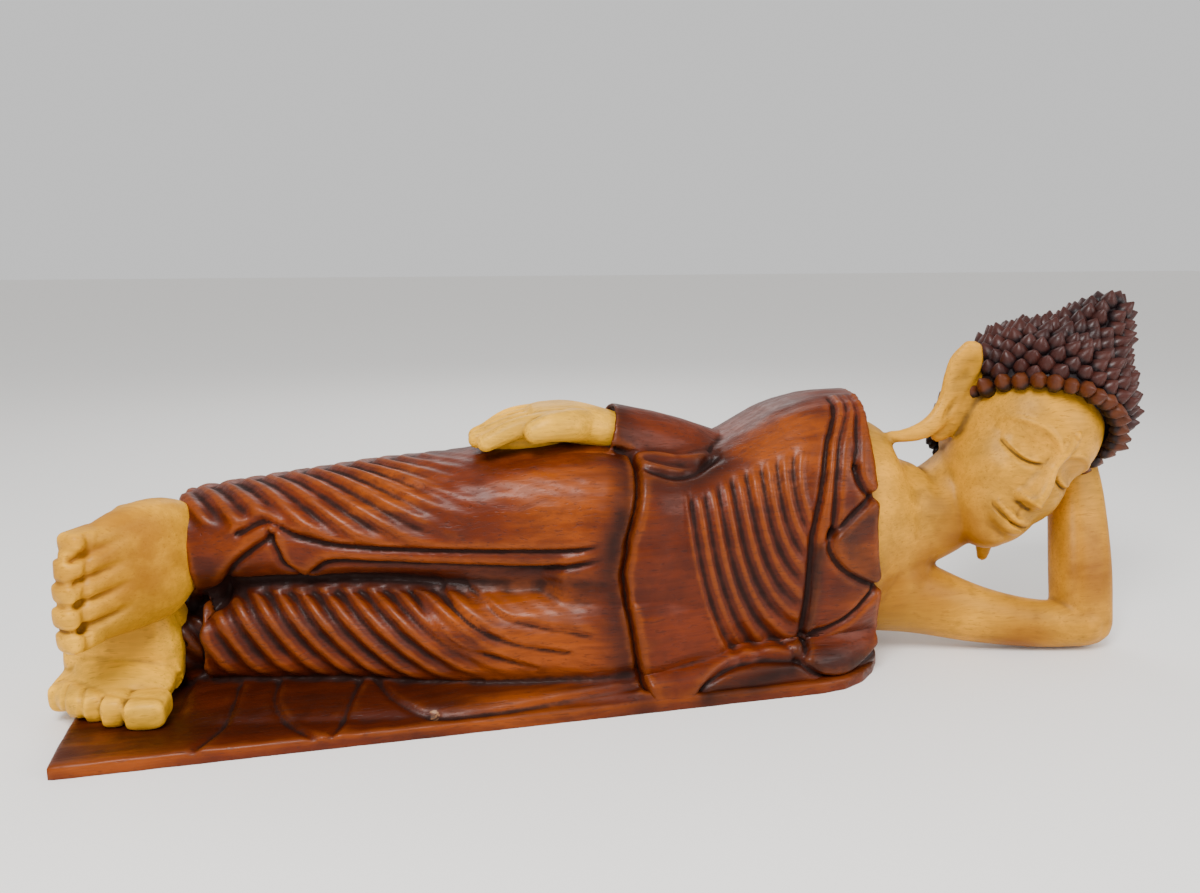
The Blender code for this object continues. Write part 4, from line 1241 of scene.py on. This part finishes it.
class HairLooks(bpy.types.PropertyGroup):
    """Sizes and colours of the hair."""

    curl_pitch: size_field("Curl Pitch", "Distance between curls", 8.0, 5)
    curl_height: size_field("Curl Height", "How far a curl stands out", 7.6, 2)
    hair_colour: colour_field("Hair Colour", "The stain on the hair", (0.009, 0.0035, 0.0040))
    tip_colour: colour_field("Tip Colour", "Worn tips of the curls", (0.050, 0.012, 0.008))
    rim_colour: colour_field("Rim Colour", "The curls along the hairline", (0.085, 0.020, 0.004))


class StageLooks(bpy.types.PropertyGroup):
    """The floor and the light."""

    floor_colour: colour_field("Floor Colour", "The plain floor", (0.88, 0.86, 0.83))
    light_power: FloatProperty(
        name="Light Power", description="Power of the main light", default=17.0, min=0, unit="POWER"
    )


def carve_cloth(piece, carvings, looks, cuffs, cuff_depth, relief_depth):
    """Carves a cloth piece, hollows its cuffs and gives it its marks of wear and of painted shade."""
    move_points(piece, lambda *skin: sum(carving(*skin, looks) for carving in carvings))
    points, facing = points_of(piece.data)
    points[:, 0] += hollow_ends(points, facing, cuffs, cuff_depth)
    set_points(piece.data, points)
    apply_modifier(piece, "SMOOTH", factor=0.5, iterations=1)
    mark_relief(piece, rounds=24, depth=relief_depth)
    mark_worn_and_shaded(piece)
    cut_level(piece)
    finish_piece(piece, cloth_material(piece.name, looks))


class FIGURE_OT_legs(bpy.types.Operator):
    """Carve the board and the cloth over the legs"""

    bl_idname = "figure.carve_legs"
    bl_label = "Board and leg cloth"

    def execute(self, context):
        looks = context.scene.cloth_looks
        bm = bmesh.new()
        add_trunk(bm)
        trim(bm, LEGS_END, -1)
        add_ball(bm, *UNDER_CUFF)
        add_board(bm, board_outline(), BOARD_THICKNESS)
        piece = new_piece("leg_cloth", bm)
        melt(piece, CLOTH_VOXEL, rounds=6)
        carve_cloth(piece, (leg_relief, board_relief), looks, LEG_CUFFS, looks.cuff_depth, 2.4)
        return {"FINISHED"}


class FIGURE_OT_tunic(bpy.types.Operator):
    """Carve the tunic, the shawl and the right sleeve"""

    bl_idname = "figure.carve_tunic"
    bl_label = "Tunic and sleeve"

    def execute(self, context):
        looks = context.scene.cloth_looks
        bm = bmesh.new()
        add_trunk(bm)
        add_cut_tube(bm, UPPER_ARM, SHOULDER_EDGE)
        add_cut_tube(bm, SLEEVE, SLEEVE_END)
        trim(bm, TUNIC_START, 1)
        piece = new_piece("tunic", bm)
        melt(piece, TUNIC_VOXEL, rounds=8)
        carve_cloth(piece, (tunic_relief,), looks, [SLEEVE[2]], 0.3 * looks.cuff_depth, 2.2)
        return {"FINISHED"}


def refine_face(piece, place):
    """Splits the faces on the front of the head, where the carving is finest."""
    back = place.inverted()
    bm = bmesh.new()
    bm.from_mesh(piece.data)
    chosen = set()
    for face in bm.faces:
        x, y, z = back @ face.calc_center_median()
        if y < -14 and -54 < z < 32 and abs(x) < 34:
            chosen.add(face)
    edges = [edge for edge in bm.edges if not chosen.isdisjoint(edge.link_faces)]
    bmesh.ops.subdivide_edges(bm, edges=edges, cuts=1, use_grid_fill=True, smooth=0.6)
    bm.to_mesh(piece.data)
    bm.free()


def carve_face(piece, place):
    """Brings the front of the head forward to the face's forms."""
    points, _ = points_of(piece.data)
    back = np.array(place.inverted())
    own = points @ back[:3, :3].T + back[:3, 3]
    own[:, 1] -= face_relief(own)
    hollow = bump(own[:, 0] + 54, own[:, 2] - 18, 5.5, 9) + bump(own[:, 0] + 50, own[:, 2] + 2, 3.0, 8)
    own[:, 1] += 2.2 * hollow * (own[:, 1] < -3)
    out = np.array(place)
    set_points(piece.data, own @ out[:3, :3].T + out[:3, 3])


class FIGURE_OT_bust(bpy.types.Operator):
    """Carve the chest, the neck, the head and the arm that props it"""

    bl_idname = "figure.carve_bust"
    bl_label = "Head and left arm"

    def execute(self, context):
        bm = bmesh.new()
        place = head_matrix()
        add_face(bm)
        add_ears(bm)
        bm.transform(place)
        add_tube(bm, NECK, sides=36, squareness=2.2)
        add_ball(bm, (134, -10, 40), (28, 27, 24))
        add_tube(bm, LOWER_ARM)
        add_tube(bm, FOREARM, squareness=2.6, upright=(0, 1, 0))
        add_tube(bm, PALM, upright=(0, 1, 0))
        for k in range(4):
            shift = Vector((9 - 6.5 * k, 0, 3.2 * k))
            reach = [Vector((244, 17, 116)), Vector((236, 27, 132)), Vector((226, 32, 146))]
            add_tube(bm, [(*(stop + shift), 4.6, 4.2) for stop in reach], sides=12)
        trim(bm, BUST_START, 1)
        piece = new_piece("bust", bm)
        melt(piece, BUST_VOXEL, rounds=10)
        refine_face(piece, place)
        carve_face(piece, place)
        mark_relief(piece, rounds=30, depth=2.6)
        mark_dust(piece)
        cut_level(piece)
        finish_piece(piece, skin_material("bust", context.scene.skin_looks, 0.0))
        return {"FINISHED"}


class FIGURE_OT_feet(bpy.types.Operator):
    """Carve both bare feet"""

    bl_idname = "figure.carve_feet"
    bl_label = "Feet"

    def execute(self, context):
        bm = bmesh.new()
        add_foot(bm, UPPER_FOOT)
        add_foot(bm, LOWER_FOOT)
        for squareness, *rows in ANKLES:
            add_tube(bm, rows, squareness=squareness)
        piece = new_piece("feet", bm)
        melt(piece, FOOT_VOXEL, rounds=5)
        feet = (UPPER_FOOT, LOWER_FOOT)
        move_points(piece, lambda *skin: sum(foot_relief(*skin, foot) for foot in feet))
        mark_relief(piece, rounds=30, depth=2.6)
        mark_dust(piece)
        cut_level(piece)
        finish_piece(piece, skin_material("feet", context.scene.skin_looks, 1.0))
        return {"FINISHED"}


class FIGURE_OT_hand(bpy.types.Operator):
    """Carve the right hand, palm down on the thigh"""

    bl_idname = "figure.carve_hand"
    bl_label = "Right hand"

    def execute(self, context):
        bm = bmesh.new()
        add_tube(bm, HAND_BACK)
        add_ball(bm, (-54, 0, 121), (22, 14, 10))
        for y, reach in FINGERS:
            finger = [(-44, y, 132, 5, 5.6), (-62, y, 130, 4.6, 5.2), (reach, y, 123.5, 4.2, 4.4)]
            add_tube(bm, finger, sides=12)
        add_tube(bm, THUMB, sides=16)
        piece = new_piece("right_hand", bm)
        melt(piece, HAND_VOXEL, rounds=4)
        mark_relief(piece, rounds=30, depth=2.0)
        mark_dust(piece)
        finish_piece(piece, skin_material("right_hand", context.scene.skin_looks, 0.8))
        return {"FINISHED"}


class FIGURE_OT_hair(bpy.types.Operator):
    """Set the hair with curls"""

    bl_idname = "figure.set_hair"
    bl_label = "Hair"

    def execute(self, context):
        looks = context.scene.hair_looks
        bm = bmesh.new()
        relief = bm.verts.layers.float.new("relief")
        rim = bm.verts.layers.float.new("hairline")
        cap = bmesh.new()
        outline = along_curve(CAP, 40)
        turns = np.linspace(0, 2 * math.pi, 72, endpoint=False)
        add_rings(cap, [[cap_point(reach, height, turn) for turn in turns] for reach, height in outline])
        cut_away(cap, (0, 0, 15), (0, HAIR_SLOPE, 1), inner=True)
        add_copy(bm, cap)
        draw = np.random.default_rng(7)
        for point, out in curl_places(looks.curl_pitch):
            first = len(bm.verts)
            out = (out + Vector(draw.uniform(-0.16, 0.16, 3))).normalized()
            size = 0.45 + 0.55 * float(smooth_step(-15, 18, point.z))
            wide = looks.curl_pitch * draw.uniform(0.52, 0.6) * (0.6 + 0.4 * size)
            height = looks.curl_height * draw.uniform(0.8, 1.15) * size
            add_curl(bm, frame_matrix(point, out.orthogonal(), out), wide, height)
            bm.verts.ensure_lookup_table()
            low = point.z < hairline(point.y) + 0.5 * looks.curl_pitch
            for vertex in bm.verts[first:]:
                rise = (vertex.co - point) @ out / looks.curl_height
                vertex[relief] = 0.1 + 0.8 * max(0, min(1, rise))
                vertex[rim] = float(low * smooth_step(12, -4, point.y))
        bm.transform(head_matrix())
        bmesh.ops.recalc_face_normals(bm, faces=bm.faces)
        finish_piece(new_piece("hair", bm), hair_material("hair", looks))
        return {"FINISHED"}


def add_area_light(name, place, target, size, power):
    """A soft square light that faces a target, in millimetres."""
    light = bpy.data.lights.new(name, "AREA")
    light.energy = power
    light.size = size * MM
    lamp = bpy.data.objects.new(name, light)
    bpy.context.scene.collection.objects.link(lamp)
    lamp.location = Vector(place) * MM
    lamp.rotation_mode = "QUATERNION"
    lamp.rotation_quaternion = (Vector(target) * MM - lamp.location).to_track_quat("-Z", "Y")


class FIGURE_OT_stage(bpy.types.Operator):
    """Set the floor, the light and the camera"""

    bl_idname = "figure.set_stage"
    bl_label = "Stage"

    def execute(self, context):
        looks = context.scene.stage_looks
        bpy.ops.mesh.primitive_plane_add(size=12, location=(0, 0, 0))
        floor = context.object
        floor.name = "floor"
        plain = bpy.data.materials.new("floor")
        plain.use_nodes = True
        surface = plain.node_tree.nodes["Principled BSDF"]
        surface.inputs["Base Color"].default_value = (*looks.floor_colour, 1)
        surface.inputs["Roughness"].default_value = 0.6
        floor.data.materials.append(plain)
        for name, place, target, size, share in LIGHTS:
            add_area_light(name, place, target, size, share * looks.light_power)
        world = bpy.data.worlds.new("studio")
        context.scene.world = world
        world.use_nodes = True
        sky = world.node_tree.nodes["Background"].inputs
        sky["Color"].default_value = (1, 1, 1, 1)
        sky["Strength"].default_value = SKY_STRENGTH
        lens = bpy.data.cameras.new("camera")
        lens.lens, lens.sensor_width = CAMERA_LENS
        lens.clip_start = 0.01
        lens.clip_end = 100
        camera = bpy.data.objects.new("camera", lens)
        context.scene.collection.objects.link(camera)
        camera.location = Vector(CAMERA_PLACE) * MM
        tilt, turn = (math.radians(angle) for angle in CAMERA_ANGLES)
        camera.rotation_euler = (math.pi / 2 - tilt, 0, -turn)
        context.scene.camera = camera
        return {"FINISHED"}


LOOKS = {
    "cloth_looks": ClothLooks,
    "skin_looks": SkinLooks,
    "hair_looks": HairLooks,
    "stage_looks": StageLooks,
}
STEPS = (
    FIGURE_OT_legs,
    FIGURE_OT_tunic,
    FIGURE_OT_bust,
    FIGURE_OT_feet,
    FIGURE_OT_hand,
    FIGURE_OT_hair,
    FIGURE_OT_stage,
)


class VIEW3D_PT_figure(bpy.types.Panel):
    """The steps that make the figure"""

    bl_label = "Reclining Buddha"
    bl_space_type = "VIEW_3D"
    bl_region_type = "UI"
    bl_category = "Figure"

    def draw(self, context):
        for step in STEPS:
            self.layout.operator(step.bl_idname)
        for name in LOOKS:
            looks = getattr(context.scene, name)
            for field in looks.bl_rna.properties:
                if not field.is_readonly and field.identifier != "name":
                    self.layout.prop(looks, field.identifier)


def register():
    for kind in (*LOOKS.values(), *STEPS, VIEW3D_PT_figure):
        bpy.utils.register_class(kind)
    for name, kind in LOOKS.items():
        setattr(bpy.types.Scene, name, PointerProperty(type=kind))


def unregister():
    for name in LOOKS:
        delattr(bpy.types.Scene, name)
    for kind in (VIEW3D_PT_figure, *reversed(STEPS), *reversed(LOOKS.values())):
        bpy.utils.unregister_class(kind)


def main():
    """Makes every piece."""
    register()
    for step in STEPS:
        group, name = step.bl_idname.split(".")
        getattr(getattr(bpy.ops, group), name)()


if __name__ == "__main__":
    main()
